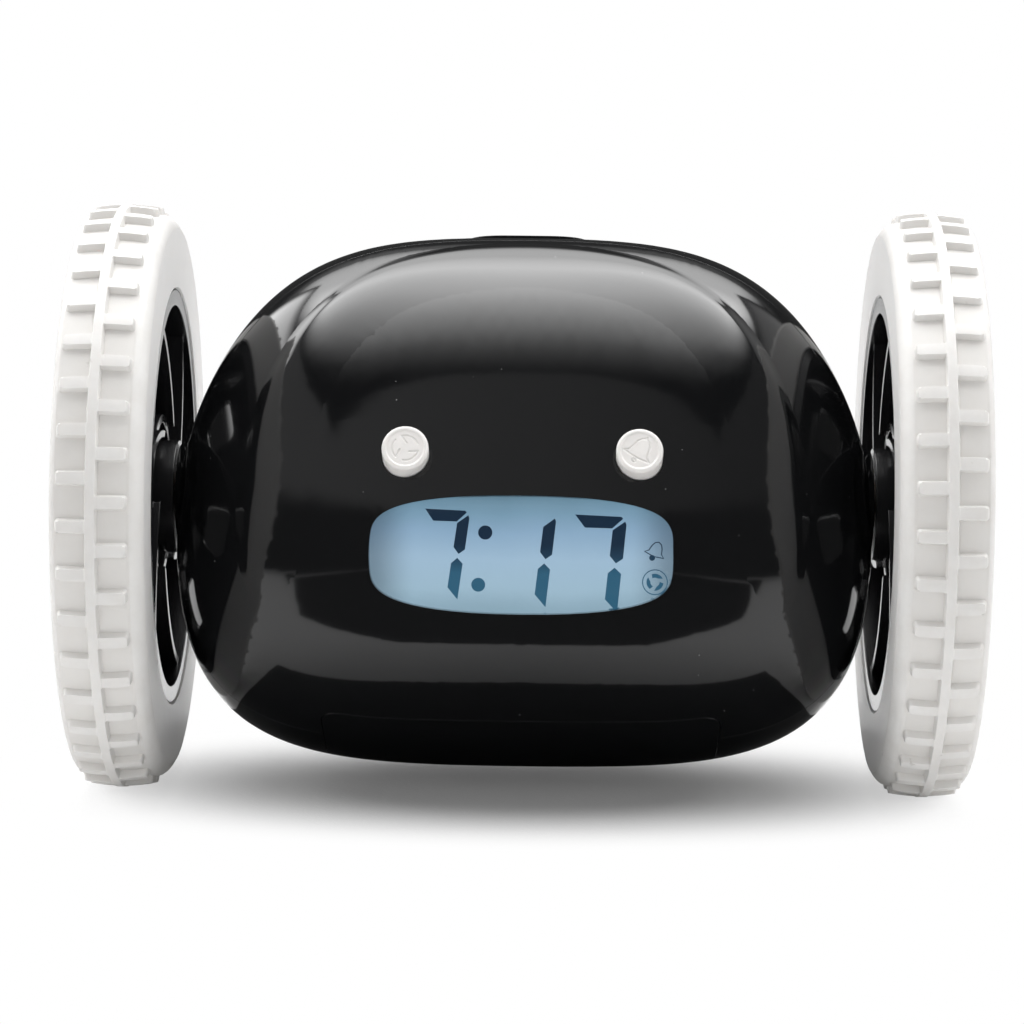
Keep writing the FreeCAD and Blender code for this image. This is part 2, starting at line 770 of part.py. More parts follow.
def eye_board():
    return key_board(eye_frame(), EYE_BOARD_WIDTH / 2, EYE_BOARD_BELOW, EYE_BOARD_ABOVE,
                     EYE_STEM, eye_posts())


def set_board():
    return key_board(set_frame(), SET_BOARD_WIDTH / 2, SET_BOARD_HALF, SET_BOARD_HALF,
                     SET_STEM, set_posts())


def snooze_board():
    reach = snooze_posts()[1][1] + POST_RADIUS
    return key_board(snooze_frame(), SNOOZE_BOARD_LENGTH / 2, reach, reach, SNOOZE_STEM,
                     snooze_posts())


def board_screws():
    """All the small screws that hold the four circuit boards."""
    screws = []
    for x, up in board_posts():
        screws.append(screw(display_frame(), x, up, board_front() - BOARD_THICKNESS))
    for frame, stem, posts in ((eye_frame(), EYE_STEM, eye_posts()),
                               (set_frame(), SET_STEM, set_posts()),
                               (snooze_frame(), SNOOZE_STEM, snooze_posts())):
        for x, up in posts:
            screws.append(screw(frame, x, up, -key_board_level(stem) - KEY_BOARD_THICKNESS))
    return group(screws)


# ------------------------------------------------------------------- speaker
def speaker_frame():
    hit = skin_point(V(0, 0, AXLE_Z + SPEAKER_HEIGHT), V(0, 1, 0))
    return Direction(hit, SPEAKER_TILT, True)


def speaker_front():
    """Level at which the speaker's rim clears the curved wall."""
    frame = speaker_frame()
    levels = []
    for turn in range(8):
        angle = turn * math.pi / 4
        start = frame.at(SPEAKER_RADIUS * math.cos(angle), SPEAKER_RADIUS * math.sin(angle),
                         -BODY_HALF_DEPTH / 2)
        levels.append((skin_point(start, frame.out, WALL) - frame.origin).dot(frame.out))
    return min(levels) - SEAT_GAP


def speaker():
    frame = speaker_frame()
    front = speaker_front()
    basket = frame.pin(SPEAKER_RADIUS, 0, 0, front - SPEAKER_DEPTH / 2, front)
    magnet = frame.pin(SPEAKER_RADIUS / 2, 0, 0, front - SPEAKER_DEPTH, front - SPEAKER_DEPTH / 2)
    cone = frame.pin(SPEAKER_RADIUS - SPEAKER_RIM, 0, 0, front - SPEAKER_RIM / 2, front + 1)
    return union([basket.cut(cone), magnet])


def speaker_seat():
    """Collar on the shell wall round the speaker."""
    frame = speaker_frame()
    bottom = speaker_front() - SPEAKER_DEPTH / 2
    collar = frame.pin(SPEAKER_RADIUS + FIT_GAP + SPEAKER_SEAT, 0, 0, bottom, 0)
    room = frame.pin(SPEAKER_RADIUS + FIT_GAP, 0, 0, bottom - 1, 1)
    return collar.cut(room).common(skin_solid(WALL / 2))


def sound_holes():
    frame = speaker_frame()
    reach = SPEAKER_RADIUS
    holes = [frame.pin(SOUND_HOLE_RADIUS, 0, 0, -reach, reach)]
    for ring in (1, 2):
        count = SOUND_HOLE_COUNT * ring
        for index in range(count):
            angle = 2 * math.pi * index / count
            holes.append(frame.pin(SOUND_HOLE_RADIUS, ring * SOUND_HOLE_RING * math.cos(angle),
                                   ring * SOUND_HOLE_RING * math.sin(angle), -reach, reach))
    return group(holes)


# ----------------------------------------------------------------- batteries
def cell_pitch():
    return math.degrees((CELL_DIAMETER + CELL_SPACE) / CELL_ARC)


def around_axle(radius, angle):
    """(y, z) at this angle from straight down, positive towards the back."""
    turn = math.radians(angle)
    return radius * math.sin(turn), AXLE_Z - radius * math.cos(turn)


def cell_angles():
    middle = (CELL_COUNT - 1) / 2
    return [CELL_CENTRE_ANGLE + (index - middle) * cell_pitch() for index in range(CELL_COUNT)]


def bay_half_length():
    return (CELL_LENGTH + SPRING_LENGTH) / 2 + CONTACT_THICKNESS


def cell_direction(index):
    """+1 where the nub points to +X, -1 for the neighbours."""
    return 1 if index % 2 == 0 else -1


def cells():
    placed = []
    for index, angle in enumerate(cell_angles()):
        y, z = around_axle(CELL_ARC, angle)
        tip = bay_half_length() - CONTACT_THICKNESS
        can = rod(CELL_DIAMETER / 2, tip - CELL_LENGTH, tip - CELL_NUB, y, z)
        nub = rod(CELL_NUB_RADIUS, tip - CELL_NUB, tip, y, z)
        cell = union([can, nub])
        placed.append(cell if cell_direction(index) > 0 else mirrored(cell))
    return group(placed)


def coil_spring():
    """Wire coil along X that starts at x = 0, bent in short straight runs."""
    pitch = (SPRING_LENGTH - 2 * SPRING_WIRE) / SPRING_TURNS
    bends = []
    for index in range(SPRING_TURNS * SPRING_BENDS + 1):
        share = index / SPRING_BENDS
        turn = 2 * math.pi * share
        bends.append(V(pitch * share, SPRING_RADIUS * math.cos(turn), SPRING_RADIUS * math.sin(turn)))
    end = Part.Circle(bends[0], bends[1] - bends[0], SPRING_WIRE)
    profile = Part.Wire([end.toShape()])
    return Part.makePolygon(bends).makePipeShell([profile], True, False, 1)


def battery_springs():
    """Coil springs behind the flat ends of the cells."""
    placed = []
    start = -bay_half_length() + CONTACT_THICKNESS + SPRING_WIRE
    for index, angle in enumerate(cell_angles()):
        coil = coil_spring()
        coil.translate(V(start, *around_axle(CELL_ARC, angle)))
        placed.append(coil if cell_direction(index) > 0 else mirrored(coil))
    return group(placed)


def battery_contacts():
    """Flat plates on both end walls of the tray."""
    half = CONTACT_SIZE / 2
    outer = bay_half_length()
    placed = []
    for angle in cell_angles():
        y, z = around_axle(CELL_ARC, angle)
        plate = box(outer - CONTACT_THICKNESS, outer, y - half, y + half, z - half, z + half)
        plate.rotate(V(0, y, z), V(1, 0, 0), angle)
        placed += [plate, mirrored(plate)]
    return group(placed)


def tray_wedge(spread):
    """Everything under the axle within the battery arc, widened by spread degrees."""
    reach = (CELL_COUNT - 1) / 2 * cell_pitch() + spread
    arc = [V(-FAR, *around_axle(BODY_HALF_DEPTH * 2, CELL_CENTRE_ANGLE + share * reach))
           for share in (-1, 0, 1)]
    apex = V(-FAR, 0, AXLE_Z)
    wire = Part.makePolygon([apex] + arc + [apex])
    return face_of(wire).extrude(V(2 * FAR, 0, 0))


def battery_tray():
    """Cradle over the four cells, open downwards towards the door."""
    bay = bay_half_length()
    outside = bay + TRAY_WALL
    top = CELL_ARC - CELL_DIAMETER / 2 - CELL_CLEAR - TRAY_WALL
    room = math.degrees(math.asin((CELL_DIAMETER / 2 + CELL_CLEAR) / CELL_ARC))
    full = room + math.degrees(TRAY_WALL / CELL_ARC)
    saddle = tube(CELL_ARC - TRAY_RIB_CUT, top, -bay - FIT_GAP, bay + FIT_GAP)
    saddle = saddle.common(tray_wedge(full))
    for angle in cell_angles():
        y, z = around_axle(CELL_ARC, angle)
        saddle = saddle.cut(rod(CELL_DIAMETER / 2 + CELL_CLEAR, -FAR, FAR, y, z))
    below = rod(BODY_HALF_DEPTH * 2, -outside, outside).cut(rod(top, -FAR, FAR))
    below = below.common(skin_solid(WALL + SEAT_GAP)).common(tray_wedge(full))
    ends = [below.common(box(bay, outside, -FAR, FAR, -FAR, FAR)),
            below.common(box(-outside, -bay, -FAR, FAR, -FAR, FAR))]
    sides = below.cut(tray_wedge(room))
    hem = inner_ring(WALL + SEAT_GAP, WALL + SEAT_GAP + LIP_WALL)
    reach = DOOR_HALF_WIDTH + TRAY_FLANGE
    flanges = []
    for side in (-1, 1):
        x0, x1 = sorted((side * (outside - TRAY_WALL / 2), side * reach))
        flanges.append(hem.common(box(x0, x1, -FAR, FAR, -FAR, FAR)).common(tray_wedge(full)))
    tray = joined([saddle] + ends + [sides] + flanges)
    for side in (-1, 1):
        tray = tray.cut(door_tongue_block(side, SIDE_GAP))
    return tray.cut(door_shelf_block(SIDE_GAP))


# --------------------------------------------------------------------- gears
def layer(index):
    """X range of a gear layer, counted outwards from the motor plate."""
    start = GEARBOX_START + PLATE + LAYER_GAP + index * (GEAR_FACE + LAYER_GAP)
    return start, start + GEAR_FACE


def mid_plate():
    return layer(1)[1] + LAYER_GAP / 2


def outer_plate():
    return layer(2)[1] + LAYER_GAP


def centre_distance(teeth_a, teeth_b):
    return GEAR_MODULE * (teeth_a + teeth_b) / 2


def step_from(place, distance, angle):
    turn = math.radians(angle)
    return place[0] + distance * math.cos(turn), place[1] + distance * math.sin(turn)


def gear_places():
    """(y, z) of axle, idler 2, idler 1 and motor."""
    axle = (0.0, AXLE_Z)
    second = step_from(axle, centre_distance(OUTPUT_TEETH, PINION_TEETH), IDLER_2_ANGLE)
    first = step_from(second, centre_distance(WHEEL_TEETH, PINION_TEETH), IDLER_1_ANGLE)
    motor = step_from(first, centre_distance(WHEEL_TEETH, PINION_TEETH), MOTOR_ANGLE)
    return axle, second, first, motor


def meshing_phase(phase, teeth, other_teeth, direction):
    """Turn of the second gear that puts its gap where the first has a tooth."""
    return direction + 180 + 180 / other_teeth - (phase - direction) * teeth / other_teeth


def tip_radius(teeth, addendum):
    return GEAR_MODULE * (teeth / 2 + addendum)


def gear_solid(teeth, addendum, x0, x1, place, phase):
    """Spur gear along X with involute flanks."""
    pitch = GEAR_MODULE * teeth / 2
    root = pitch - GEAR_MODULE * DEDENDUM
    tip = tip_radius(teeth, addendum)
    pressure = math.radians(PRESSURE_ANGLE)
    base = pitch * math.cos(pressure)
    half_pitch = math.pi / (2 * teeth) - BACKLASH / (2 * pitch)
    half_base = half_pitch + math.tan(pressure) - pressure
    steps = 4
    flank = [(root, half_base)] if root < base else []
    low = max(root, base)
    for step in range(steps + 1):
        radius = low + (tip - low) * step / steps
        roll = math.acos(min(base / radius, 1.0))
        flank.append((radius, half_base - math.tan(roll) + roll))
    outline = []
    for tooth in range(teeth):
        centre = math.radians(phase) + 2 * math.pi * tooth / teeth
        sides = [(radius, centre - turn) for radius, turn in flank]
        sides += [(radius, centre + turn) for radius, turn in reversed(flank)]
        outline += [V(x0, place[0] + radius * math.cos(turn), place[1] + radius * math.sin(turn))
                    for radius, turn in sides]
    wire = Part.makePolygon(outline + outline[:1])
    return face_of(wire).extrude(V(x1 - x0, 0, 0))


def gear_phases():
    """Phases of output gear, idler 2 pinion, idler 1 pinion and motor pinion."""
    second = meshing_phase(0, OUTPUT_TEETH, PINION_TEETH, IDLER_2_ANGLE)
    first = meshing_phase(0, WHEEL_TEETH, PINION_TEETH, IDLER_1_ANGLE)
    motor = meshing_phase(0, WHEEL_TEETH, PINION_TEETH, MOTOR_ANGLE)
    return 0, second, first, motor


def output_gear():
    start, end = layer(2)
    collar = layer(1)[0] + LAYER_GAP
    place = gear_places()[0]
    gear = gear_solid(OUTPUT_TEETH, WHEEL_ADDENDUM, start, end, place, gear_phases()[0])
    hub = rod(AXLE_RADIUS + BUSH_WALL, collar, start)
    return union([gear, hub]).cut(rod(AXLE_RADIUS + FIT_GAP, 0, FAR))


def compound_gear(place, wheel_layer, pinion_layer, pinion_phase):
    wheel = gear_solid(WHEEL_TEETH, WHEEL_ADDENDUM, *layer(wheel_layer), place, 0)
    pinion = gear_solid(PINION_TEETH, PINION_ADDENDUM, layer(wheel_layer)[1],
                        layer(pinion_layer)[1], place, pinion_phase)
    return union([wheel, pinion]).cut(rod(GEAR_PIN_RADIUS + RUN_GAP, 0, FAR, *place))


def idler_gear_1():
    return compound_gear(gear_places()[2], 0, 1, gear_phases()[2])


def idler_gear_2():
    return compound_gear(gear_places()[1], 1, 2, gear_phases()[1])


def motor_pinion():
    """Motor shaft with its pinion."""
    place = gear_places()[3]
    start, end = layer(0)
    pinion = gear_solid(PINION_TEETH, PINION_ADDENDUM, start, end, place, gear_phases()[3])
    shaft = rod(MOTOR_SHAFT_RADIUS, GEARBOX_START - MOTOR_NOSE, start, *place)
    return union([pinion, shaft])


def motor():
    """Can motor with flats, a bearing nose and two terminals."""
    y, z = gear_places()[3]
    end = GEARBOX_START - SEAT_GAP
    start = end - MOTOR_LENGTH
    can = rod(MOTOR_RADIUS, start, end, y, z)
    can = can.common(box(start, end, -FAR, FAR, z - MOTOR_FLAT / 2, z + MOTOR_FLAT / 2))
    nose = rod(MOTOR_NOSE_RADIUS, end, end + MOTOR_NOSE, y, z)
    bore = rod(MOTOR_SHAFT_RADIUS + RUN_GAP, end - 2 * MOTOR_NOSE, FAR, y, z)
    terminals = [box(start - MOTOR_TERMINAL, start, y + side * MOTOR_RADIUS / 2 - MOTOR_NOSE / 2,
                     y + side * MOTOR_RADIUS / 2 + MOTOR_NOSE / 2, z - FIT_GAP * 4, z + FIT_GAP * 4)
                 for side in (-1, 1)]
    return union([can, nose] + terminals).cut(bore)


def gear_discs(x0, x1, grow, full):
    """Round rooms for the gears of the train, as one block along X."""
    axle, second, first, motor_place = gear_places()
    wheel = tip_radius(WHEEL_TEETH, WHEEL_ADDENDUM) + GEAR_ROOM + grow
    pinion = tip_radius(PINION_TEETH, PINION_ADDENDUM) + GEAR_ROOM + grow
    output = tip_radius(OUTPUT_TEETH, WHEEL_ADDENDUM) + GEAR_ROOM + grow
    discs = [rod(output, x0, x1, *axle)]
    if full:
        discs += [rod(wheel, x0, x1, *second), rod(wheel, x0, x1, *first),
                  rod(pinion, x0, x1, *motor_place)]
    else:
        discs.append(rod(pinion, x0, x1, *second))
    return union(discs)


def cover_screw_places():
    axle, _, first, _ = gear_places()
    output = tip_radius(OUTPUT_TEETH, WHEEL_ADDENDUM) + GEAR_ROOM + PLATE + SCREW_RADIUS
    wheel = tip_radius(WHEEL_TEETH, WHEEL_ADDENDUM) + GEAR_ROOM + PLATE + SCREW_RADIUS
    return [step_from(axle, output, COVER_SCREW_ANGLES[0]),
            step_from(axle, output, COVER_SCREW_ANGLES[1]),
            step_from(first, wheel, COVER_SCREW_ANGLES[2])]


def ear_frame():
    return Direction(V(0, EAR_FRONT, AXLE_Z), 0)


def ear_places():
    return [EAR_TOP, -EAR_BOTTOM]


def ear_x():
    """Ears stand flush with the open side of the gear housing."""
    return GEARBOX_START + PLATE + SEAT_GAP + EAR_HALF


def gear_housing():
    """Outer half of the gearbox: walls, two plates, screw lugs and ears."""
    start = GEARBOX_START + PLATE + SEAT_GAP
    middle = mid_plate()
    outside = outer_plate() + PLATE
    body = [gear_discs(start, middle + PLATE, PLATE, True),
            gear_discs(start, outside, PLATE, False)]
    lugs = [rod(POST_RADIUS, start, middle + PLATE, *place) for place in cover_screw_places()]
    frame = ear_frame()
    x = ear_x()
    ears = []
    for up in ear_places():
        root = 0.0 if up < 0 else gear_places()[3][1] - AXLE_Z
        low, high = sorted((up + math.copysign(EAR_HALF, up), root))
        ears.append(frame.slab(x - EAR_HALF, x + EAR_HALF, low, high, -EAR_THICKNESS, 0))
    shape = union(body + lugs + ears)
    shape = shape.cut(gear_discs(0, middle, 0, True))
    shape = shape.cut(gear_discs(0, outer_plate(), 0, False))
    _, second, first, _ = gear_places()
    bosses = [rod(PIN_BOSS_RADIUS, layer(1)[1] + SEAT_GAP, middle + FIT_GAP, *first),
              rod(PIN_BOSS_RADIUS, layer(2)[1] + SEAT_GAP, outer_plate() + FIT_GAP, *second)]
    shape = union([shape] + bosses)
    holes = [rod(GEAR_PIN_RADIUS + FIT_GAP / 2, 0, FAR, *first),
             rod(GEAR_PIN_RADIUS + FIT_GAP / 2, 0, FAR, *second),
             rod(AXLE_RADIUS + SIDE_GAP, 0, FAR)]
    holes += [rod(SCREW_RADIUS + FIT_GAP, 0, start + SCREW_LENGTH, *place)
              for place in cover_screw_places()]
    holes += [frame.pin(SCREW_RADIUS + SKIN_GAP, x, up, -EAR_THICKNESS - 1, 1)
              for up in ear_places()]
    return shape.cut(group(holes))


def motor_plate():
    """Inner half of the gearbox, which carries the motor and the axle's inner bush."""
    start = GEARBOX_START
    end = GEARBOX_START + PLATE
    axle, second, first, motor_place = gear_places()
    plate = union([gear_discs(start, end, PLATE, True),
                   rod(MOTOR_SEAT_RADIUS, start, end, *motor_place)]
                  + [rod(POST_RADIUS, start, end, *place) for place in cover_screw_places()])
    holes = [rod(MOTOR_NOSE_RADIUS + FIT_GAP, 0, FAR, *motor_place),
             rod(GEAR_PIN_RADIUS + FIT_GAP / 2, 0, FAR, *second),
             rod(GEAR_PIN_RADIUS + FIT_GAP / 2, 0, FAR, *first),
             rod(AXLE_RADIUS + BUSH_WALL + FIT_GAP, 0, FAR, *axle)]
    holes += [rod(SCREW_RADIUS + SKIN_GAP, 0, FAR, *place) for place in cover_screw_places()]
    return plate.cut(group(holes))


def gear_pins():
    """Fixed steel pins of the two idler gears."""
    _, second, first, _ = gear_places()
    return group([rod(GEAR_PIN_RADIUS, GEARBOX_START, mid_plate() + PLATE, *first),
                  rod(GEAR_PIN_RADIUS, GEARBOX_START, outer_plate() + PLATE, *second)])


def gearbox_screws():
    """Cover screws along X and ear screws along Y."""
    head = SCREW_HEAD
    screws = []
    for place in cover_screw_places():
        screws.append(union([rod(SCREW_HEAD_RADIUS, GEARBOX_START - head, GEARBOX_START, *place),
                             rod(SCREW_RADIUS, GEARBOX_START, GEARBOX_START + SCREW_LENGTH, *place)]))
    frame = ear_frame()
    for up in ear_places():
        shank = frame.pin(SCREW_RADIUS, ear_x(), up, -SCREW_LENGTH, 0)
        screws.append(union([shank, frame.pin(SCREW_HEAD_RADIUS, ear_x(), up, 0, head)]))
    return group(screws)


# --------------------------------------------------------------- wheel parts
def axle_inner_end():
    return GEARBOX_START - LAYER_GAP


def axle_outer_end():
    return WEB_OUT


def axle():
    shaft = rod(AXLE_RADIUS, axle_inner_end(), axle_outer_end())
    return shaft.cut(rod(HUB_SCREW_RADIUS + FIT_GAP, axle_outer_end() - SCREW_LENGTH, FAR))


def axle_bushes():
    """Flanged bush in the side of the rear shell and plain bush in the motor plate."""
    bore = AXLE_RADIUS + RUN_GAP
    outer = AXLE_RADIUS + BUSH_WALL
    start = outer_plate() + PLATE + LAYER_GAP
    sleeve = rod(outer, start, BODY_HALF_LENGTH + FIT_GAP)
    flange = rod(outer + BUSH_FLANGE_RIM, BODY_HALF_LENGTH + FIT_GAP,
                 BODY_HALF_LENGTH + FIT_GAP + BUSH_FLANGE)
    inner = rod(outer, GEARBOX_START - FIT_GAP, GEARBOX_START + PLATE + LAYER_GAP / 2)
    return group([union([sleeve, flange]).cut(rod(bore, 0, FAR)), inner.cut(rod(bore, 0, FAR))])


def swirl_spoke(index, start, end):
    """Curved rib from the hub wall to the rim."""
    turn = 2 * math.pi * index / SPOKE_COUNT
    sweep = math.radians(SPOKE_SWEEP)
    inner = HUB_WALL_RADIUS - HUB_WALL / 2
    outer = RIM_RADIUS - RIM_WALL / 2
    sides = []
    for offset in (-SPOKE_WIDTH / 2, SPOKE_WIDTH / 2):
        points = []
        for share in (0, 0.5, 1):
            radius = inner + (outer - inner) * share
            angle = turn + sweep * share ** SPOKE_BEND
            shift = offset / radius
            points.append(V(start, radius * math.cos(angle + shift),
                            AXLE_Z + radius * math.sin(angle + shift)))
        sides.append(points)
    first, second = sides
    wire = Part.Wire([Part.Arc(*first).toShape(),
                      Part.LineSegment(first[2], second[2]).toShape(),
                      Part.Arc(*reversed(second)).toShape(),
                      Part.LineSegment(second[0], first[0]).toShape()])
    return face_of(wire).extrude(V(end - start, 0, 0))


def web_window(index):
    """Rounded opening through the web between two spokes."""
    angle = 360 / SPOKE_COUNT * (index + 0.5) + SPOKE_SWEEP * WINDOW_LEAD
    half = WINDOW_ANGLE / 2
    ring = tube(WINDOW_OUTER_RADIUS, WINDOW_INNER_RADIUS, WEB_IN - 1, WEB_OUT + 1)
    corners = [V(WEB_IN - 1, 0, AXLE_Z)]
    for turn in (angle - half, angle, angle + half):
        y, z = step_from((0, AXLE_Z), 2 * WINDOW_OUTER_RADIUS, turn)
        corners.append(V(WEB_IN - 1, y, z))
    wedge = face_of(Part.makePolygon(corners + corners[:1])).extrude(V(WEB_THICKNESS + 2, 0, 0))
    opening = ring.common(wedge)
    along = [edge for edge in opening.Edges
             if abs(edge.Vertexes[0].X - edge.Vertexes[-1].X) > 1]
    return opening.makeFillet(WINDOW_ROUND, along)


def hub_drum_face():
    """Inner end of the hub's drum, just clear of the bush flange."""
    return BODY_HALF_LENGTH + FIT_GAP + BUSH_FLANGE + SKIN_GAP


def wheel_hub():
    """Rim, web, spokes, ring wall, drum and boss in one moulding."""
    rim = tube(RIM_RADIUS - FIT_GAP, RIM_RADIUS - RIM_WALL, RIM_IN, RIM_OUT)
    groove_start = TYRE_MID - BEAD_WIDTH / 2
    groove = tube(RIM_RADIUS + 1, RIM_RADIUS - BEAD_DEPTH - FIT_GAP, groove_start,
                  groove_start + BEAD_WIDTH)
    web = rod(RIM_RADIUS - RIM_WALL / 2, WEB_IN, WEB_OUT)
    spokes = [swirl_spoke(index, RIM_IN + SPOKE_LIP, WEB_IN + FIT_GAP)
              for index in range(SPOKE_COUNT)]
    wall = tube(HUB_WALL_RADIUS, HUB_WALL_RADIUS - HUB_WALL, RIM_IN + HUB_WALL_LIP, WEB_IN + FIT_GAP)
    drum = rod(HUB_DRUM_RADIUS, hub_drum_face(), WEB_IN + FIT_GAP)
    drum = drum.cut(rod(HUB_DRUM_RADIUS - HUB_WALL, hub_drum_face() + HUB_WALL, FAR))
    boss = rod(HUB_BOSS_RADIUS, hub_drum_face() + HUB_WALL / 2, WEB_IN + FIT_GAP)
    windows = group([web_window(index) for index in range(SPOKE_COUNT)])
    shape = union([rim.cut(groove), web.cut(windows)] + spokes + [wall, drum, boss])
    return shape.cut(rod(AXLE_RADIUS + FIT_GAP, 0, FAR))


def hub_screw():
    head = rod(SCREW_HEAD_RADIUS, WEB_OUT + FIT_GAP, WEB_OUT + FIT_GAP + SCREW_HEAD)
    shank = rod(HUB_SCREW_RADIUS, WEB_OUT + FIT_GAP - SCREW_LENGTH, WEB_OUT + FIT_GAP)
    return union([head, shank])


def hub_cap():
    """Shallow cap over the hub screw."""
    start = WEB_OUT + FIT_GAP
    end = start + SCREW_HEAD + SEAT_GAP + HUB_CAP_THICKNESS
    cap = rod(HUB_CAP_RADIUS, start, end)
    edge = [item for item in cap.Edges if abs(item.CenterOfMass.x - end) < FIT_GAP]
    cap = cap.makeFillet(HUB_CAP_THICKNESS * 0.6, edge)
    return cap.cut(rod(HUB_CAP_RADIUS - HUB_CAP_THICKNESS, 0, end - HUB_CAP_THICKNESS))


def crown_arc(lift):
    """Line across the tread at this height over its floor, with its two ends."""
    floor = AXLE_Z + WHEEL_DIAMETER / 2 - TREAD_HEIGHT + lift
    points = [V(RIDGE_MID + share * TREAD_HALF_WIDTH, 0, floor - CROWN_DROP * share ** 2)
              for share in (-1, 0, 1)]
    return Part.Arc(*points).toShape(), points[0], points[2]


def shoulder_arc(crease, edge):
    """Bulging line between a side wall's crease and the edge of the tread."""
    run = edge - crease
    bulge = V(crease.x + run.x * (1 - SHOULDER_BULGE), 0, crease.z + run.z * SHOULDER_BULGE)
    return Part.Arc(crease, bulge, edge).toShape()


def straight(*points):
    """Straight lines from point to point."""
    return [Part.LineSegment(start, end).toShape() for start, end in zip(points, points[1:])]


def revolved(edges):
    wire = Part.Wire(edges)
    return face_of(wire).revolve(V(0, 0, AXLE_Z), V(1, 0, 0), 360)


def tyre_carcass():
    """The tyre without its tread: flat walls, shoulders and crowned floor."""
    seat = AXLE_Z + RIM_RADIUS
    inner_crease = V(TYRE_IN, 0, AXLE_Z + INNER_CREASE)
    outer_crease = V(TYRE_OUT, 0, AXLE_Z + OUTER_CREASE)
    crown, first, last = crown_arc(0)
    edges = [shoulder_arc(inner_crease, first), crown, shoulder_arc(outer_crease, last)]
    return revolved(edges + straight(outer_crease, V(TYRE_OUT, 0, seat), V(TYRE_IN, 0, seat),
                                     inner_crease))


def tyre_lug(row, index):
    """Upright block of one lug, rounded at its outer corners."""
    x0, x1 = sorted((RIDGE_MID, RIDGE_MID + row * TREAD_HALF_WIDTH))
    outer_x = x1 if row > 0 else x0
    block = box(x0, x1, -LUG_LENGTH / 2, LUG_LENGTH / 2, AXLE_Z + INNER_CREASE,
                AXLE_Z + WHEEL_DIAMETER)
    upright = [edge for edge in block.Edges
               if abs(edge.Vertexes[0].X - outer_x) < FIT_GAP
               and abs(edge.Vertexes[1].X - outer_x) < FIT_GAP
               and abs(edge.Vertexes[0].Z - edge.Vertexes[1].Z) > 1]
    block = block.makeFillet(LUG_ROUND, upright)
    block.rotate(V(0, 0, AXLE_Z), V(1, 0, 0), 360 / LUG_COUNT * (index + row / 4))
    return block


def tyre():
    """Soft tyre: carcass, centre ridge and two staggered rows of lugs."""
    crown, first, last = crown_arc(TREAD_HEIGHT - LUG_DROP)
    under = AXLE_Z + INNER_CREASE
    band = revolved([crown] + straight(last, V(last.x, 0, under), V(first.x, 0, under), first))
    lugs = [tyre_lug(row, index) for row in (-1, 1) for index in range(LUG_COUNT)]
    tread = band.common(group(lugs))
    ridge = tube(WHEEL_DIAMETER / 2, INNER_CREASE,
                 RIDGE_MID - RIDGE_WIDTH / 2, RIDGE_MID + RIDGE_WIDTH / 2)
    bead = tube(RIM_RADIUS + FIT_GAP, RIM_RADIUS - BEAD_DEPTH,
                TYRE_MID - BEAD_WIDTH / 2 + FIT_GAP, TYRE_MID + BEAD_WIDTH / 2 - FIT_GAP)
    return tyre_carcass().multiFuse([ridge, bead] + tread.Solids)


# -------------------------------------------------------------------- shells
def case_screw_places():
    """(x, up) of the four screws that join the shells."""
    return [(side * place[0], place[1]) for side in (-1, 1) for place in (UPPER_SCREW, LOWER_SCREW)]


def case_frame():
    return Direction(V(0, 0, AXLE_Z), 0)


def parting_level(up):
    """How far the parting plane lies in front of the axle at this height."""
    return PARTING_AHEAD - up * math.tan(math.radians(PARTING_TILT))


def case_seat(up):
    return parting_level(up) - CASE_SCREW_SEAT


def case_bosses(radius):
    frame = case_frame()
    return [frame.pin(radius, x, up, -FAR / 2, FAR / 2) for x, up in case_screw_places()]


def case_screws():
    frame = case_frame()
    screws = []
    for x, up in case_screw_places():
        seat = case_seat(up)
        screws.append(union([frame.pin(CASE_SCREW_HEAD_RADIUS, x, up, seat - CASE_SCREW_HEAD, seat),
                             frame.pin(CASE_SCREW_RADIUS, x, up, seat, seat + CASE_SCREW_LENGTH)]))
    return group(screws)


def front_shell():
    """Face half of the case."""
    ahead = parting_slab(SKIN_GAP / 2, FAR)
    skin = inner_ring(0, WALL)
    bosses = union(case_bosses(CASE_BOSS_RADIUS)).common(skin_solid(WALL / 2))
    columns = []
    bores = []
    for x, up in board_posts():
        column, bore = post(display_frame(), x, up, board_front() + SEAT_GAP / 2)
        columns.append(column)
        bores.append(bore)
    level = -key_board_level(EYE_STEM) + SEAT_GAP / 2
    for x, up in eye_posts():
        column, bore = post(eye_frame(), x, up, level)
        columns.append(column)
        bores.append(bore)
    skin = skin.common(ahead).cut(window_prism(0)).cut(door_prism(0))
    shape = joined([skin, bosses.common(ahead)] + columns)
    frame = case_frame()
    for x, up in case_screw_places():
        tip = case_seat(up) + CASE_SCREW_LENGTH + SEAT_GAP
        bores.append(frame.pin(CASE_SCREW_RADIUS + FIT_GAP, x, up, -FAR / 2, tip))
    bores += [button_hole(eye_frame(), x, EYE_RADIUS) for x in eye_places()]
    return shape.cut(group(bores))


def locating_lip():
    """Tongue of the rear shell that enters the front shell."""
    inner = WALL + SKIN_GAP + LIP_WALL
    layers = inner_ring(WALL / 2, inner).common(parting_slab(-LIP_LENGTH / 2, LIP_LENGTH))
    lip = layers.cut(inner_ring(0, WALL + SKIN_GAP).common(parting_slab(-SKIN_GAP / 2, FAR)))
    reach = DOOR_HALF_WIDTH + TRAY_FLANGE + SIDE_GAP
    lip = lip.cut(box(-reach, reach, -FAR, FAR, -FAR, AXLE_Z - DOOR_TOP / 2))
    return lip.cut(group(case_bosses(CASE_BOSS_RADIUS + SIDE_GAP)))


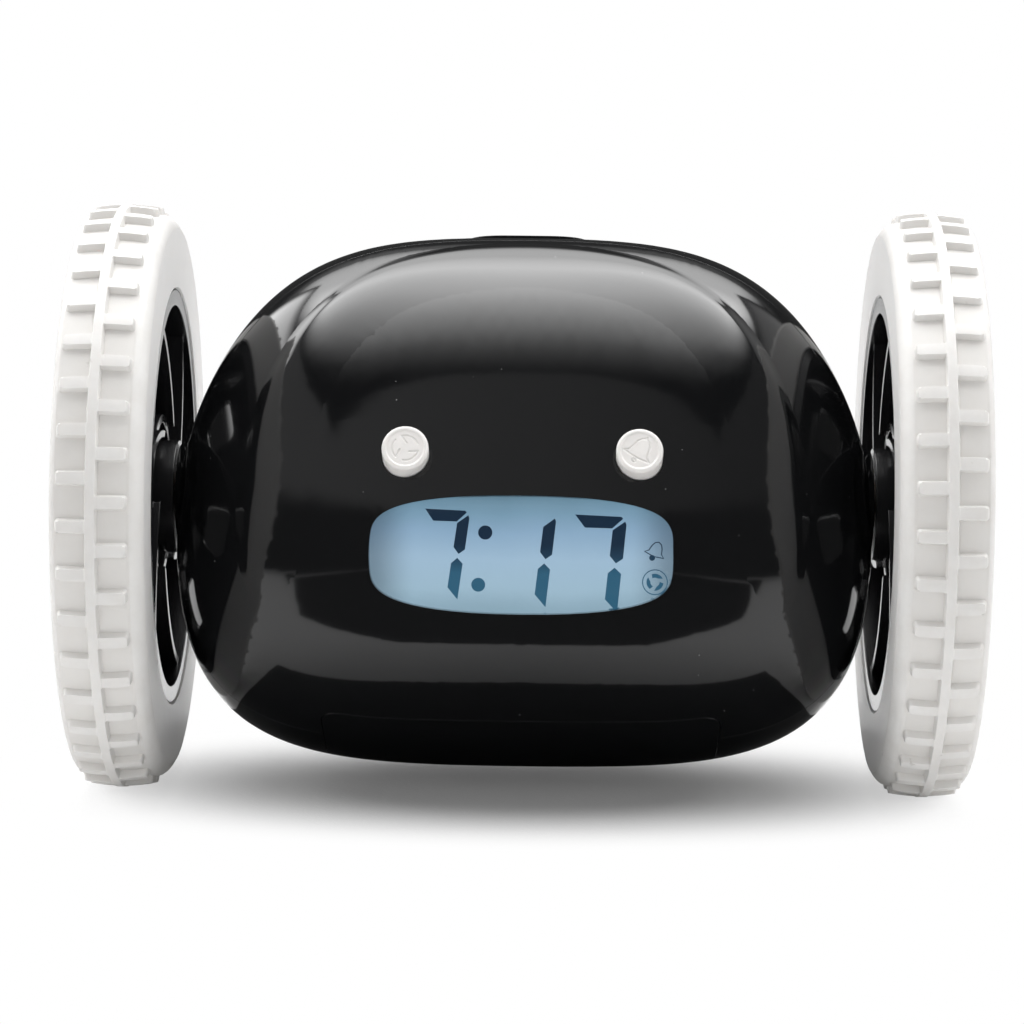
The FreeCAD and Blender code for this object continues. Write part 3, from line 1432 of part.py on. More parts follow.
def rear_shell():
    """Back half of the case, with the axle bosses and all rear fixings."""
    behind = parting_slab(-FAR, -SKIN_GAP / 2)
    skin = inner_ring(0, WALL)
    inside = skin_solid(WALL / 2)
    bosses = union(case_bosses(CASE_BOSS_RADIUS)).common(inside)
    columns = []
    bores = []
    for x, up in set_posts():
        column, bore = post(set_frame(), x, up, -key_board_level(SET_STEM) + SEAT_GAP / 2)
        columns.append(column)
        bores.append(bore)
    for x, up in snooze_posts():
        column, bore = post(snooze_frame(), x, up, -key_board_level(SNOOZE_STEM) + SEAT_GAP / 2)
        columns.append(column)
        bores.append(bore)
    ears = ear_frame()
    for side in (-1, 1):
        boss = rod(AXLE_BOSS_RADIUS, outer_plate() + PLATE + LAYER_GAP, BODY_HALF_LENGTH - WALL / 2)
        columns.append(boss if side > 0 else mirrored(boss))
        for up in ear_places():
            start = -EAR_THICKNESS - SEAT_GAP / 2
            column = ears.pin(POST_RADIUS + SPEAKER_RIM / 2, side * ear_x(), up, -FAR / 2, start)
            columns.append(column.common(inside))
            bores.append(ears.pin(SCREW_RADIUS + FIT_GAP, side * ear_x(), up, -SCREW_LENGTH - SEAT_GAP, 0))
    columns.append(speaker_seat())
    skin = skin.common(behind).cut(door_prism(0)).cut(snooze_prism(0))
    shape = joined([skin, bosses.common(behind)] + columns + [locating_lip(), door_shelf()])
    frame = case_frame()
    for x, up in case_screw_places():
        seat = case_seat(up)
        bores.append(frame.pin(CASE_SCREW_RADIUS + SKIN_GAP, x, up, seat - 1, FAR / 2))
        bores.append(frame.pin(CASE_SCREW_HEAD_RADIUS + SIDE_GAP, x, up, -FAR / 2, seat))
    bores += [button_hole(set_frame(), x, SET_RADIUS) for x in set_places()]
    bores.append(rod(AXLE_RADIUS + BUSH_WALL + FIT_GAP, -FAR, FAR))
    bores.append(sound_holes())
    bores.append(door_screw_frame().pin(SCREW_RADIUS + FIT_GAP, 0, 0, -SCREW_LENGTH, 0))
    return shape.cut(group(bores))


# ---------------------------------------------------------------------- main
def single_parts():
    return {
        "front_shell": front_shell,
        "rear_shell": rear_shell,
        "battery_door": battery_door,
        "door_screw": door_screw,
        "case_screws": case_screws,
        "lcd_lens": lcd_lens,
        "lcd_panel": lcd_panel,
        "backlight_diffuser": backlight_diffuser,
        "zebra_strip": zebra_strip,
        "lcd_holder": lcd_holder,
        "main_board": main_board,
        "board_parts": board_parts,
        "face_key_board": eye_board,
        "rear_key_board": set_board,
        "snooze_board": snooze_board,
        "tact_switches": tact_switches,
        "board_screws": board_screws,
        "run_button": run_button,
        "alarm_button": alarm_button,
        "snooze_button": snooze_button,
        "time_set_button": lambda: set_button(0),
        "alarm_set_button": lambda: set_button(1),
        "hour_button": lambda: set_button(2),
        "minute_button": lambda: set_button(3),
        "speaker": speaker,
        "battery_tray": battery_tray,
        "aaa_cells": cells,
        "battery_springs": battery_springs,
        "battery_contacts": battery_contacts,
    }


def paired_parts():
    """Pieces of the drive, made for the right side and mirrored for the left."""
    return {
        "motor": motor,
        "motor_pinion": motor_pinion,
        "idler_gear_1": idler_gear_1,
        "idler_gear_2": idler_gear_2,
        "output_gear": output_gear,
        "gear_housing": gear_housing,
        "motor_plate": motor_plate,
        "gear_pins": gear_pins,
        "gearbox_screws": gearbox_screws,
        "axle": axle,
        "axle_bushes": axle_bushes,
        "wheel_hub": wheel_hub,
        "hub_screw": hub_screw,
        "hub_cap": hub_cap,
        "tyre": tyre,
    }


def export(name, shape):
    shape.exportStep(os.path.join("parts", name + ".step"))


def main():
    os.makedirs("parts", exist_ok=True)
    for name, build in single_parts().items():
        export(name, build())
    for name, build in paired_parts().items():
        shape = build()
        export("right_" + name, shape)
        export("left_" + name, mirrored(shape))


if __name__ == "__main__":
    main()
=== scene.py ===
"""Looks of the runaway alarm clock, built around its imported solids.

Every length is in metres, unless its name ends in _mm or its class says that it is
in mm. X runs along the axle, -Y is the side of the face, Z is up and the floor is
z = 0.
"""
import logging
import math
from collections.abc import Callable, Sequence
from dataclasses import dataclass
from enum import Enum

import bpy
from mathutils import Matrix, Vector
from mathutils.bvhtree import BVHTree


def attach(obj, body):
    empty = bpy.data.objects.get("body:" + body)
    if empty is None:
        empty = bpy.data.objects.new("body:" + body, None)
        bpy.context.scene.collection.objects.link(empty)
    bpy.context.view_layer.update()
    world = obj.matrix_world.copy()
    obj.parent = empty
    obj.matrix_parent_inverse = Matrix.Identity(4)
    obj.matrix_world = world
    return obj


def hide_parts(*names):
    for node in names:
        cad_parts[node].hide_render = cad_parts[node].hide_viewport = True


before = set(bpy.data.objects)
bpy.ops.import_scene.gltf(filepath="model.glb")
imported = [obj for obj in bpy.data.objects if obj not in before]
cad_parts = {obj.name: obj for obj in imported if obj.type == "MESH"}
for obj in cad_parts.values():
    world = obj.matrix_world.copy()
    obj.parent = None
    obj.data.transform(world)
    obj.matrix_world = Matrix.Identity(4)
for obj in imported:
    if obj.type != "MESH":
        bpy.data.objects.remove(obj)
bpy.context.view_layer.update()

LOG = logging.getLogger("scene")
MM = 0.001
Colour = tuple[float, float, float]
Point = tuple[float, float]
Sockets = dict[str | int, object]


# ------------------------------------------------------------ shader language
class Wire:
    """One output of a node. Python's operators on it add the nodes that do the sum."""

    def __init__(self, sheet: "Sheet", socket: bpy.types.NodeSocket | None) -> None:
        """Keeps the sheet that new nodes go to, and the socket itself, if there is one."""
        self.sheet = sheet
        self.socket = socket

    def _with(self, word: str, other: "Wire | float", swapped: bool = False) -> "Wire":
        """Joins this wire and another value in one operation.

        Args:
            word: Operation of the Math or Vector Math node, or blend type for colours.
            other: The second value.
            swapped: True where the other value comes first.

        Returns:
            The wire that carries the result.
        """
        first, second = (other, self) if swapped else (self, other)
        kinds = {item.socket.type for item in (first, second) if isinstance(item, Wire)}
        if "RGBA" in kinds:
            return self.sheet.add("ShaderNodeMix", {"data_type": "RGBA", "blend_type": word},
                                  {"Factor_Float": 1.0, "A_Color": first, "B_Color": second},
                                  "Result_Color")
        kind = "ShaderNodeVectorMath" if "VECTOR" in kinds else "ShaderNodeMath"
        return self.sheet.add(kind, {"operation": word}, {0: first, 1: second})

    def __add__(self, other: "Wire | float") -> "Wire":
        """This plus the other."""
        return self._with("ADD", other)

    def __radd__(self, other: "Wire | float") -> "Wire":
        """The other plus this."""
        return self._with("ADD", other, True)

    def __sub__(self, other: "Wire | float") -> "Wire":
        """This less the other."""
        return self._with("SUBTRACT", other)

    def __rsub__(self, other: "Wire | float") -> "Wire":
        """The other less this."""
        return self._with("SUBTRACT", other, True)

    def __mul__(self, other: "Wire | float") -> "Wire":
        """This times the other."""
        return self._with("MULTIPLY", other)

    def __rmul__(self, other: "Wire | float") -> "Wire":
        """The other times this."""
        return self._with("MULTIPLY", other, True)

    def __truediv__(self, other: "Wire | float") -> "Wire":
        """This divided by the other."""
        return self._with("DIVIDE", other)

    def __rtruediv__(self, other: "Wire | float") -> "Wire":
        """The other divided by this."""
        return self._with("DIVIDE", other, True)

    def __gt__(self, other: "Wire | float") -> "Wire":
        """1 where this value is greater than the other."""
        return self._with("GREATER_THAN", other)

    def __lt__(self, other: "Wire | float") -> "Wire":
        """1 where this value is less than the other, the reflected form of >."""
        return self._with("LESS_THAN", other)

    def apply(self, word: str) -> "Wire":
        """One-input Math operation, such as ABSOLUTE or SINE."""
        return self.sheet.add("ShaderNodeMath", {"operation": word}, {0: self})

    def part(self, axis: str) -> "Wire":
        """One component of a vector: X, Y or Z."""
        return self.sheet.add("ShaderNodeSeparateXYZ", None, {0: self}, axis)

    def step(self, low: float, high: float) -> "Wire":
        """Smooth rise from 0 at low to 1 at high."""
        return self.sheet.add("ShaderNodeMapRange", {"interpolation_type": "SMOOTHSTEP"},
                              {"Value": self, "From Min": low, "From Max": high})


class Sheet:
    """Node tree of one finish."""

    def __init__(self, owner: bpy.types.Material | bpy.types.World) -> None:
        """Clears the nodes of a material or a world, ready for new ones.

        Args:
            owner: The material or world.
        """
        owner.use_nodes = True
        self.tree = owner.node_tree
        self.tree.nodes.clear()

    def add(self, kind: str, settings: dict[str, object] | None = None,
            sockets: Sockets | None = None, output: str | int = 0) -> Wire:
        """Adds one node.

        Args:
            kind: Node type.
            settings: Properties to set first; "stops" holds a ramp's (place, colour) pairs.
            sockets: Input name, identifier or index to value or wire.
            output: Name, identifier or index of the output wanted.

        Returns:
            A wire from that output.
        """
        node = self.tree.nodes.new(kind)
        for name, value in (settings or {}).items():
            if name == "stops":
                self._fill_ramp(node.color_ramp, value)
            else:
                setattr(node, name, value)
        for name, value in (sockets or {}).items():
            self._feed(self._find(node.inputs, name), value)
        return Wire(self, self._find(node.outputs, output) if node.outputs else None)

    @staticmethod
    def _find(sockets: bpy.types.NodeInputs | bpy.types.NodeOutputs,
              name: str | int) -> bpy.types.NodeSocket:
        """Finds one socket of a node.

        Args:
            sockets: The node's inputs or outputs.
            name: Index, identifier or name of the one wanted.

        Returns:
            The socket.
        """
        if isinstance(name, int):
            return sockets[name]
        for socket in sockets:
            if socket.identifier == name:
                return socket
        return sockets[name]

    @staticmethod
    def _fill_ramp(ramp: bpy.types.ColorRamp, stops: Sequence[tuple[float, Colour]]) -> None:
        """Gives a colour ramp its stops.

        Args:
            ramp: The ramp.
            stops: Place and colour of each stop, in order.
        """
        while len(ramp.elements) < len(stops):
            ramp.elements.new(0.5)
        for element, (place, colour) in zip(ramp.elements, stops):
            element.position = place
            element.color = (*colour, 1.0)

    def _feed(self, socket: bpy.types.NodeSocket, value: object) -> None:
        """Links a wire to a socket, or sets the socket's own value.

        Args:
            socket: The input.
            value: A wire, or a number, vector or colour.
        """
        if isinstance(value, Wire):
            self.tree.links.new(value.socket, socket)
        elif socket.type == "RGBA":
            colour = (value,) * 3 if isinstance(value, (int, float)) else tuple(value)
            socket.default_value = (*colour[:3], 1.0)
        elif socket.type == "VECTOR" and isinstance(value, (int, float)):
            socket.default_value = (value,) * 3
        else:
            socket.default_value = value

    def place(self) -> Wire:
        """Position on the piece, in metres."""
        return self.add("ShaderNodeTexCoord", output="Object")

    def rise(self, low_mm: float, high_mm: float) -> Wire:
        """Height as a share of the way between two levels."""
        return (self.place().part("Z") - low_mm * MM) / ((high_mm - low_mm) * MM)

    def reach(self, vector: Wire) -> Wire:
        """Length of a vector."""
        return self.add("ShaderNodeVectorMath", {"operation": "LENGTH"}, {0: vector}, "Value")

    def vector(self, parts: Sequence[float]) -> Wire:
        """A plain vector."""
        return self.add("ShaderNodeCombineXYZ", None, dict(enumerate(parts)))

    def seen_by(self) -> tuple[Wire, ...]:
        """1 for rays from the eye, for mirror rays and for rays through clear plastic."""
        return tuple(self.add("ShaderNodeLightPath", output=name) for name in
                     ("Is Camera Ray", "Is Glossy Ray", "Is Transmission Ray"))

    def attribute(self, name: str) -> Wire:
        """Value of a mesh attribute."""
        return self.add("ShaderNodeAttribute", {"attribute_name": name}, output="Fac")

    def noise(self, grain: float, detail: float = 3.0, rough: float = 0.5,
              stretch: tuple[float, float, float] = (1.0, 1.0, 1.0)) -> Wire:
        """Soft noise.

        Args:
            grain: Size of its patches in metres.
            detail: Number of finer layers.
            rough: Weight of the finer layers.
            stretch: Factors on X, Y and Z; below 1 draws the patches out along that axis.

        Returns:
            Wire with values from 0 to 1.
        """
        at = self.place() * self.vector(stretch)
        return self.add("ShaderNodeTexNoise", None,
                        {"Vector": at, "Scale": 1 / grain, "Detail": detail, "Roughness": rough})

    def specks(self, spacing: float, size: float) -> Wire:
        """Round specks, one in each cell of a loose lattice.

        Args:
            spacing: Size of a cell in metres.
            size: Radius of a speck in metres.

        Returns:
            Wire that is 1 in a speck and 0 beside it.
        """
        cells = self.add("ShaderNodeTexVoronoi", None,
                         {"Vector": self.place(), "Scale": 1 / spacing}, "Distance")
        return 1 - cells.step(size / spacing * 0.7, size / spacing)

    def mix(self, share: Wire | float, first: object, second: object) -> Wire:
        """Colour between two colours."""
        return self.add("ShaderNodeMix", {"data_type": "RGBA"},
                        {"Factor_Float": share, "A_Color": first, "B_Color": second},
                        "Result_Color")

    def ramp(self, share: Wire, stops: Sequence[tuple[float, Colour]]) -> Wire:
        """Colour from a row of stops."""
        return self.add("ShaderNodeValToRGB", {"stops": stops}, {"Fac": share}, "Color")

    def relief(self, height: Wire, depth: float, under: Wire | None = None) -> Wire:
        """Fine relief of the surface.

        Args:
            height: Wire with its shape, from 0 to 1.
            depth: Its depth in metres.
            under: Another normal that it lies on.

        Returns:
            The normal.
        """
        sockets: Sockets = {"Height": height, "Distance": depth, "Strength": 1.0}
        if under is not None:
            sockets["Normal"] = under
        return self.add("ShaderNodeBump", None, sockets)

    def soft_edge(self, radius: float) -> Wire:
        """Normal that rounds sharp edges over that radius."""
        return self.add("ShaderNodeBevel", {"samples": 6}, {"Radius": radius})

    def close(self, sockets: Sockets) -> None:
        """Ends the sheet with a Principled shader that takes these sockets."""
        shader = self.add("ShaderNodeBsdfPrincipled", None, sockets, "BSDF")
        self.add("ShaderNodeOutputMaterial", None, {"Surface": shader})


# ------------------------------------------------------------------- finishes
@dataclass(frozen=True)
class Finish:
    """A finish with a name; each kind says in lay() or paint() what its surface does."""

    name: str

    def lay(self, sheet: Sheet) -> Sockets:
        """Sockets of the shader: plain values and wires."""
        raise NotImplementedError

    def paint(self, sheet: Sheet) -> None:
        """Lays the finish and ends it with a Principled shader."""
        sheet.close(self.lay(sheet))

    def material(self) -> bpy.types.Material:
        """Makes the Blender material, or finds it where it was made before.

        Returns:
            The material.
        """
        made = bpy.data.materials.get(self.name)
        if made is None:
            made = bpy.data.materials.new(self.name)
            self.paint(Sheet(made))
        return made


@dataclass(frozen=True)
class GlossMoulding(Finish):
    """Polished moulded plastic with a slight flow ripple, hazy smears and dust specks."""

    colour: Colour = (0.0055, 0.0057, 0.0062)
    shine: float = 0.06
    haze: float = 0.05
    edge: float = 0.12 * MM
    dust_tone: Colour = (0.22, 0.22, 0.22)

    def lay(self, sheet: Sheet) -> Sockets:
        """Dark body colour, dust and a rippled surface.

        Args:
            sheet: Node tree that the nodes go to.

        Returns:
            Sockets of the shader.
        """
        dust = sheet.specks(3.4 * MM, 0.11 * MM) * sheet.noise(9 * MM, 1).step(0.44, 0.5)
        smear = sheet.noise(22 * MM, 4, 0.62, (1.0, 1.0, 0.55))
        flow = sheet.noise(14 * MM, 1)
        return {"Base Color": sheet.mix(dust, self.colour, self.dust_tone),
                "Roughness": smear * self.haze + self.shine + dust * 0.3,
                "IOR": 1.5,
                "Normal": sheet.relief(flow, 0.02 * MM, sheet.soft_edge(self.edge))}


@dataclass(frozen=True)
class SatinMoulding(Finish):
    """Moulded plastic with a fine spark-eroded grain, mottled colour and rubbed edges."""

    colour: Colour = (0.02, 0.02, 0.022)
    shine: float = 0.4
    mottle: float = 0.12
    grain: float = 0.25 * MM
    depth: float = 0.004 * MM
    edge: float = 0.12 * MM
    soft: float = 0.0

    def lay(self, sheet: Sheet) -> Sockets:
        """Mottled body colour over a fine grain.

        Args:
            sheet: Node tree that the nodes go to.

        Returns:
            Sockets of the shader.
        """
        cloud = sheet.noise(3 * MM, 4, 0.6)
        fine = sheet.noise(self.grain, 2)
        light = tuple(min(1.0, c * (1 + self.mottle)) for c in self.colour)
        dark = tuple(c * (1 - self.mottle) for c in self.colour)
        return {"Base Color": sheet.mix(cloud.step(0.3, 0.7), dark, light),
                "Roughness": self.shine - 0.06 + cloud * 0.08 + fine * 0.05,
                "Subsurface Weight": self.soft, "Subsurface Radius": (1.0, 0.9, 0.8),
                "Subsurface Scale": 0.6 * MM,
                "Normal": sheet.relief(fine, self.depth, sheet.soft_edge(self.edge))}


@dataclass(frozen=True)
class Metal(Finish):
    """Bright metal with drawn or turned lines, dull patches and worn edges."""

    colour: Colour = (0.55, 0.54, 0.52)
    shine: float = 0.28
    lines: tuple[float, float, float] = (1.0, 1.0, 1.0)
    stain: Colour = (0.32, 0.30, 0.28)

    def lay(self, sheet: Sheet) -> Sockets:
        """Tarnish over fine lines.

        Args:
            sheet: Node tree that the nodes go to.

        Returns:
            Sockets of the shader.
        """
        cloud = sheet.noise(2.5 * MM, 4, 0.65)
        line = sheet.noise(0.18 * MM, 3, 0.6, self.lines)
        return {"Base Color": sheet.mix(cloud.step(0.42, 0.75), self.colour, self.stain),
                "Metallic": 1.0,
                "Roughness": self.shine - 0.08 + cloud * 0.16 + line * 0.1,
                "Normal": sheet.relief(line, 0.003 * MM, sheet.soft_edge(0.08 * MM))}


@dataclass(frozen=True)
class TyreRubber(Finish):
    """Off-white thermoplastic rubber: satin tread, glossier side walls, dirt in the corners, and a
    paler inner side wall, which is painted light.
    """

    dull_tone: Colour = (0.71, 0.695, 0.675)
    fresh_tone: Colour = (0.76, 0.75, 0.735)
    grime_tone: Colour = (0.66, 0.635, 0.60)
    scuff_tone: Colour = (0.40, 0.37, 0.34)
    wall_tone: Colour = (0.88, 0.87, 0.86)

    def lay(self, sheet: Sheet) -> Sockets:
        """Tread and wall are told apart by the mesh's own marks.

        Args:
            sheet: Node tree that the nodes go to.

        Returns:
            Sockets of the shader.
        """
        recess = sheet.attribute("recess")
        wall = sheet.attribute("wall")
        cloud = sheet.noise(5 * MM, 5, 0.6)
        scuff = sheet.noise(3.2 * MM, 3, 0.7).step(0.67, 0.74)
        scuff = scuff * sheet.noise(21 * MM, 1).step(0.55, 0.62)
        grime = recess * (cloud * 0.4 + 0.1)
        clean = sheet.mix(cloud.step(0.25, 0.75), self.dull_tone, self.fresh_tone)
        soiled = sheet.mix(grime, clean, self.grime_tone)
        marked = sheet.mix(scuff * 0.35 * (1 - wall), soiled, self.scuff_tone)
        fine = sheet.noise(0.3 * MM, 3, 0.6)
        # Painted light: the inner side wall gets a paler tone than the rest of the tyre.
        return {"Base Color": sheet.mix(wall * 0.6, marked, self.wall_tone),
                "Roughness": 0.52 - wall * 0.14 + cloud * 0.1,
                "Subsurface Weight": 0.15, "Subsurface Radius": (1.0, 0.9, 0.8),
                "Subsurface Scale": 0.8 * MM,
                "Normal": sheet.relief(fine * (1 - wall * 0.8), 0.010 * MM)}


@dataclass(frozen=True)
class ClearMoulding(Finish):
    """Water-clear polished plastic: each face mirrors its small share and lets the rest by."""

    index: float = 1.49
    tint: Colour = (0.98, 0.99, 1.0)
    dust_tone: Colour = (0.5, 0.5, 0.5)

    def lay(self, sheet: Sheet) -> Sockets:
        """A mirror whose cover is the share a clear face sends back, alike from both sides.

        Args:
            sheet: Node tree that the nodes go to.

        Returns:
            Sockets of the shader.
        """
        wipe = sheet.noise(9 * MM, 4, 0.6, (0.4, 1.0, 1.0))
        dust = sheet.specks(3.1 * MM, 0.05 * MM) * sheet.noise(7 * MM, 1).step(0.45, 0.52)
        behind = sheet.add("ShaderNodeNewGeometry", output="Backfacing")
        share = sheet.add("ShaderNodeFresnel", None,
                          {"IOR": self.index - behind * (self.index - 1 / self.index)})
        return {"Base Color": sheet.mix(dust, self.tint, self.dust_tone),
                "Metallic": 1.0, "Roughness": wipe * 0.04 + 0.03 + dust * 0.4,
                "Alpha": share + dust * 0.3,
                "Normal": sheet.relief(wipe, 0.004 * MM)}


@dataclass(frozen=True)
class Backlight(Finish):
    """Liquid-crystal glass lit from behind: darker at its top edge and sides, which is painted
    shade of the window's frame, lighter below.
    """

    low_mm: float = 31.6
    high_mm: float = 51.0
    # The fall at the sides and the darker ends of the tones are painted shade of the window's
    # frame.
    side_near: float = 15.0 * MM
    side_far: float = 22.0 * MM
    side_fall: float = 0.5
    strength: float = 1.0
    tones: tuple[tuple[float, Colour], ...] = (
        (0.0, (0.24, 0.37, 0.45)), (0.12, (0.28, 0.42, 0.52)), (0.24, (0.34, 0.50, 0.62)),
        (0.46, (0.34, 0.50, 0.65)), (0.66, (0.25, 0.40, 0.56)), (0.80, (0.18, 0.32, 0.44)),
        (0.90, (0.13, 0.25, 0.34)), (1.0, (0.06, 0.12, 0.17)))

    def lay(self, sheet: Sheet) -> Sockets:
        """Glow of the backlight by height, with the polariser's fine mottle; its darker top edge
        and sides are painted shade of the window's frame.

        Args:
            sheet: Node tree that the nodes go to.

        Returns:
            Sockets of the shader.
        """
        rise = sheet.rise(self.low_mm, self.high_mm)
        # Painted shade: the ramp dims the glow towards the top edge, and the base colour darkens a
        # little there.
        glow = sheet.ramp(rise + sheet.noise(11 * MM, 3) * 0.12 - 0.06, self.tones)
        # Painted shade of the frame at the sides.
        side = sheet.place().part("X").apply("ABSOLUTE").step(self.side_near, self.side_far)
        grain = sheet.noise(0.35 * MM, 2) * 0.08 + 0.96
        lit = glow * (grain * (1 - side * self.side_fall))
        return {"Base Color": sheet.mix(rise, (0.04, 0.05, 0.05), (0.03, 0.035, 0.04)),
                "Emission Color": lit, "Emission Strength": self.strength,
                "Roughness": 0.3 + grain * 0.1,
                "Normal": sheet.relief(grain, 0.003 * MM)}


@dataclass(frozen=True)
class CrystalInk(Finish):
    """Dark liquid crystal: navy above, letting more teal through below."""

    low_mm: float = 33.0
    high_mm: float = 48.5
    strength: float = 1.0
    tones: tuple[tuple[float, Colour], ...] = (
        (0.0, (0.030, 0.118, 0.195)), (0.35, (0.028, 0.112, 0.190)),
        (0.50, (0.014, 0.045, 0.085)), (0.62, (0.006, 0.021, 0.047)),
        (1.0, (0.005, 0.019, 0.043)))

    def lay(self, sheet: Sheet) -> Sockets:
        """Glow that leaks through the crystal, by height.

        Args:
            sheet: Node tree that the nodes go to.

        Returns:
            Sockets of the shader.
        """
        rise = sheet.rise(self.low_mm, self.high_mm)
        leak = sheet.ramp(rise + sheet.noise(4 * MM, 2) * 0.06 - 0.03, self.tones)
        return {"Base Color": sheet.mix(rise, (0.002, 0.005, 0.008), (0.002, 0.004, 0.006)),
                "Emission Color": leak, "Emission Strength": self.strength,
                "Roughness": 0.35 + sheet.noise(0.4 * MM, 1) * 0.1}


@dataclass(frozen=True)
class CircuitBoard(Finish):
    """Glass-fibre board: weave under solder mask, copper tracks and plated pads."""

    mask: Colour = (0.012, 0.07, 0.03)

    def lay(self, sheet: Sheet) -> Sockets:
        """Tracks from a brick pattern, pads from a cell pattern.

        Args:
            sheet: Node tree that the nodes go to.

        Returns:
            Sockets of the shader.
        """
        tracks = sheet.add("ShaderNodeTexBrick", None,
                           {"Vector": sheet.place(), "Scale": 160.0, "Mortar Size": 0.03,
                            "Color1": 0.0, "Color2": 0.0, "Mortar": 1.0}, "Fac")
        pads = sheet.specks(3.1 * MM, 0.45 * MM)
        weave = sheet.noise(0.4 * MM, 1, 0.5, (1.0, 1.0, 0.2))
        light = tuple(c * 2.0 for c in self.mask)
        base = sheet.mix(tracks * 0.5 + weave * 0.2, self.mask, light)
        return {"Base Color": sheet.mix(pads, base, (0.55, 0.53, 0.48)),
                "Metallic": pads * 0.9, "Roughness": 0.35 - pads * 0.08 + weave * 0.1,
                "Normal": sheet.relief(tracks + pads, 0.03 * MM)}


@dataclass(frozen=True)
class Striped(Finish):
    """Silicone strip of fine conductive and clear layers."""

    pitch: float = 0.35 * MM

    def lay(self, sheet: Sheet) -> Sockets:
        """Thin dark bands along X in a pale rose body.

        Args:
            sheet: Node tree that the nodes go to.

        Returns:
            Sockets of the shader.
        """
        waves = (sheet.place().part("X") * (2 * math.pi / self.pitch)).apply("SINE")
        bands = waves.step(-0.1, 0.3)
        cloud = sheet.noise(1.5 * MM, 2)
        return {"Base Color": sheet.mix(bands, (0.55, 0.30, 0.30), (0.03, 0.03, 0.03)),
                "Roughness": 0.5 + cloud * 0.15, "Normal": sheet.relief(bands, 0.01 * MM)}


@dataclass(frozen=True)
class CellJacket(Finish):
    """Dry cell: dark shrink sleeve with a warm band at one end and bare steel ends."""

    sleeve_end: float = 21.6 * MM
    band_start: float = 9 * MM

    def lay(self, sheet: Sheet) -> Sockets:
        """Sleeve colours and bare metal by distance along the cell.

        Args:
            sheet: Node tree that the nodes go to.

        Returns:
            Sockets of the shader.
        """
        along = sheet.place().part("X")
        bare = along.apply("ABSOLUTE") > self.sleeve_end
        band = along > self.band_start
        cloud = sheet.noise(4 * MM, 3)
        sleeve = sheet.mix(band, (0.025, 0.026, 0.030), (0.48, 0.24, 0.08))
        return {"Base Color": sheet.mix(bare, sleeve, (0.55, 0.55, 0.55)),
                "Metallic": bare * 0.5 + 0.45, "Roughness": 0.3 + cloud * 0.12,
                "Normal": sheet.relief(cloud, 0.03 * MM)}


@dataclass(frozen=True)
class SpeakerFace(Finish):
    """Pressed steel frame round a dark paper cone with a centre dome."""

    centre: tuple[float, float, float] = (0.0, 37.44 * MM, 32.45 * MM)
    cone_edge: Point = (8.6 * MM, 8.9 * MM)
    dome_edge: Point = (3.4 * MM, 3.8 * MM)

    def lay(self, sheet: Sheet) -> Sockets:
        """Ring, cone and dome by distance from the middle.

        Args:
            sheet: Node tree that the nodes go to.

        Returns:
            Sockets of the shader.
        """
        reach = sheet.reach(sheet.place() - sheet.vector(self.centre))
        ring = reach.step(*self.cone_edge)
        dome = 1 - reach.step(*self.dome_edge)
        fibre = sheet.noise(0.5 * MM, 4, 0.7)
        cone = sheet.mix(fibre, (0.018, 0.017, 0.016), (0.045, 0.042, 0.04))
        face = sheet.mix(dome, cone, (0.08, 0.08, 0.085))
        return {"Base Color": sheet.mix(ring, face, (0.50, 0.49, 0.47)), "Metallic": ring,
                "Roughness": 0.75 - ring * 0.4 + fibre * 0.1,
                "Normal": sheet.relief(fibre, 0.05 * MM)}


@dataclass(frozen=True)
class StudioFloor(Finish):
    """Pale floor that reads as white to the eye yet keeps the shadow round the object; to mirrors
    it glows only away from the object, so the floor near and under it is painted shade in
    reflections.
    """

    level: float = 0.90
    lift: float = 0.06
    near: float = 0.014
    far: float = 0.043
    stretch: tuple[float, float, float] = (0.5, 1.0, 0.0)
    mirror_near: float = 0.03
    mirror_far: float = 0.07
    mirror_gain: float = 3.0

    def paint(self, sheet: Sheet) -> None:
        """Pale matt sheet that turns into plain white away from the object.

        Args:
            sheet: Node tree that the nodes go to.
        """
        cloud = sheet.noise(25 * MM, 3)
        fine = sheet.noise(0.9 * MM, 3, 0.7)
        tone = sheet.mix(cloud, (self.level,) * 3, (self.level * 0.985,) * 3)
        eye, mirror, through = sheet.seen_by()
        flat = sheet.add("ShaderNodeBsdfPrincipled", None,
                         {"Base Color": tone, "Roughness": 0.7 + fine * 0.1,
                          "Specular IOR Level": 0.1, "Normal": sheet.relief(fine, 0.08 * MM)},
                         "BSDF")
        reach = sheet.reach(sheet.place() * sheet.vector(self.stretch))
        # Painted light and shade in reflections: mirror rays see the floor glow away from the
        # object, and no glow near and under it.
        beyond_painted_shade = reach.step(self.mirror_near, self.mirror_far)
        open_air = mirror * beyond_painted_shade * self.mirror_gain + eye + through
        lift = sheet.add("ShaderNodeEmission", None,
                         {"Color": (1.0, 1.0, 1.0), "Strength": open_air * self.lift})
        white = sheet.add("ShaderNodeEmission", None, {"Color": (1.0, 1.0, 1.0)})
        lit = sheet.add("ShaderNodeAddShader", None, {0: flat, 1: lift})
        both = sheet.add("ShaderNodeMixShader", None,
                         {0: reach.step(self.near, self.far) * (eye + through), 1: lit, 2: white})
        sheet.add("ShaderNodeOutputMaterial", None, {"Surface": both})


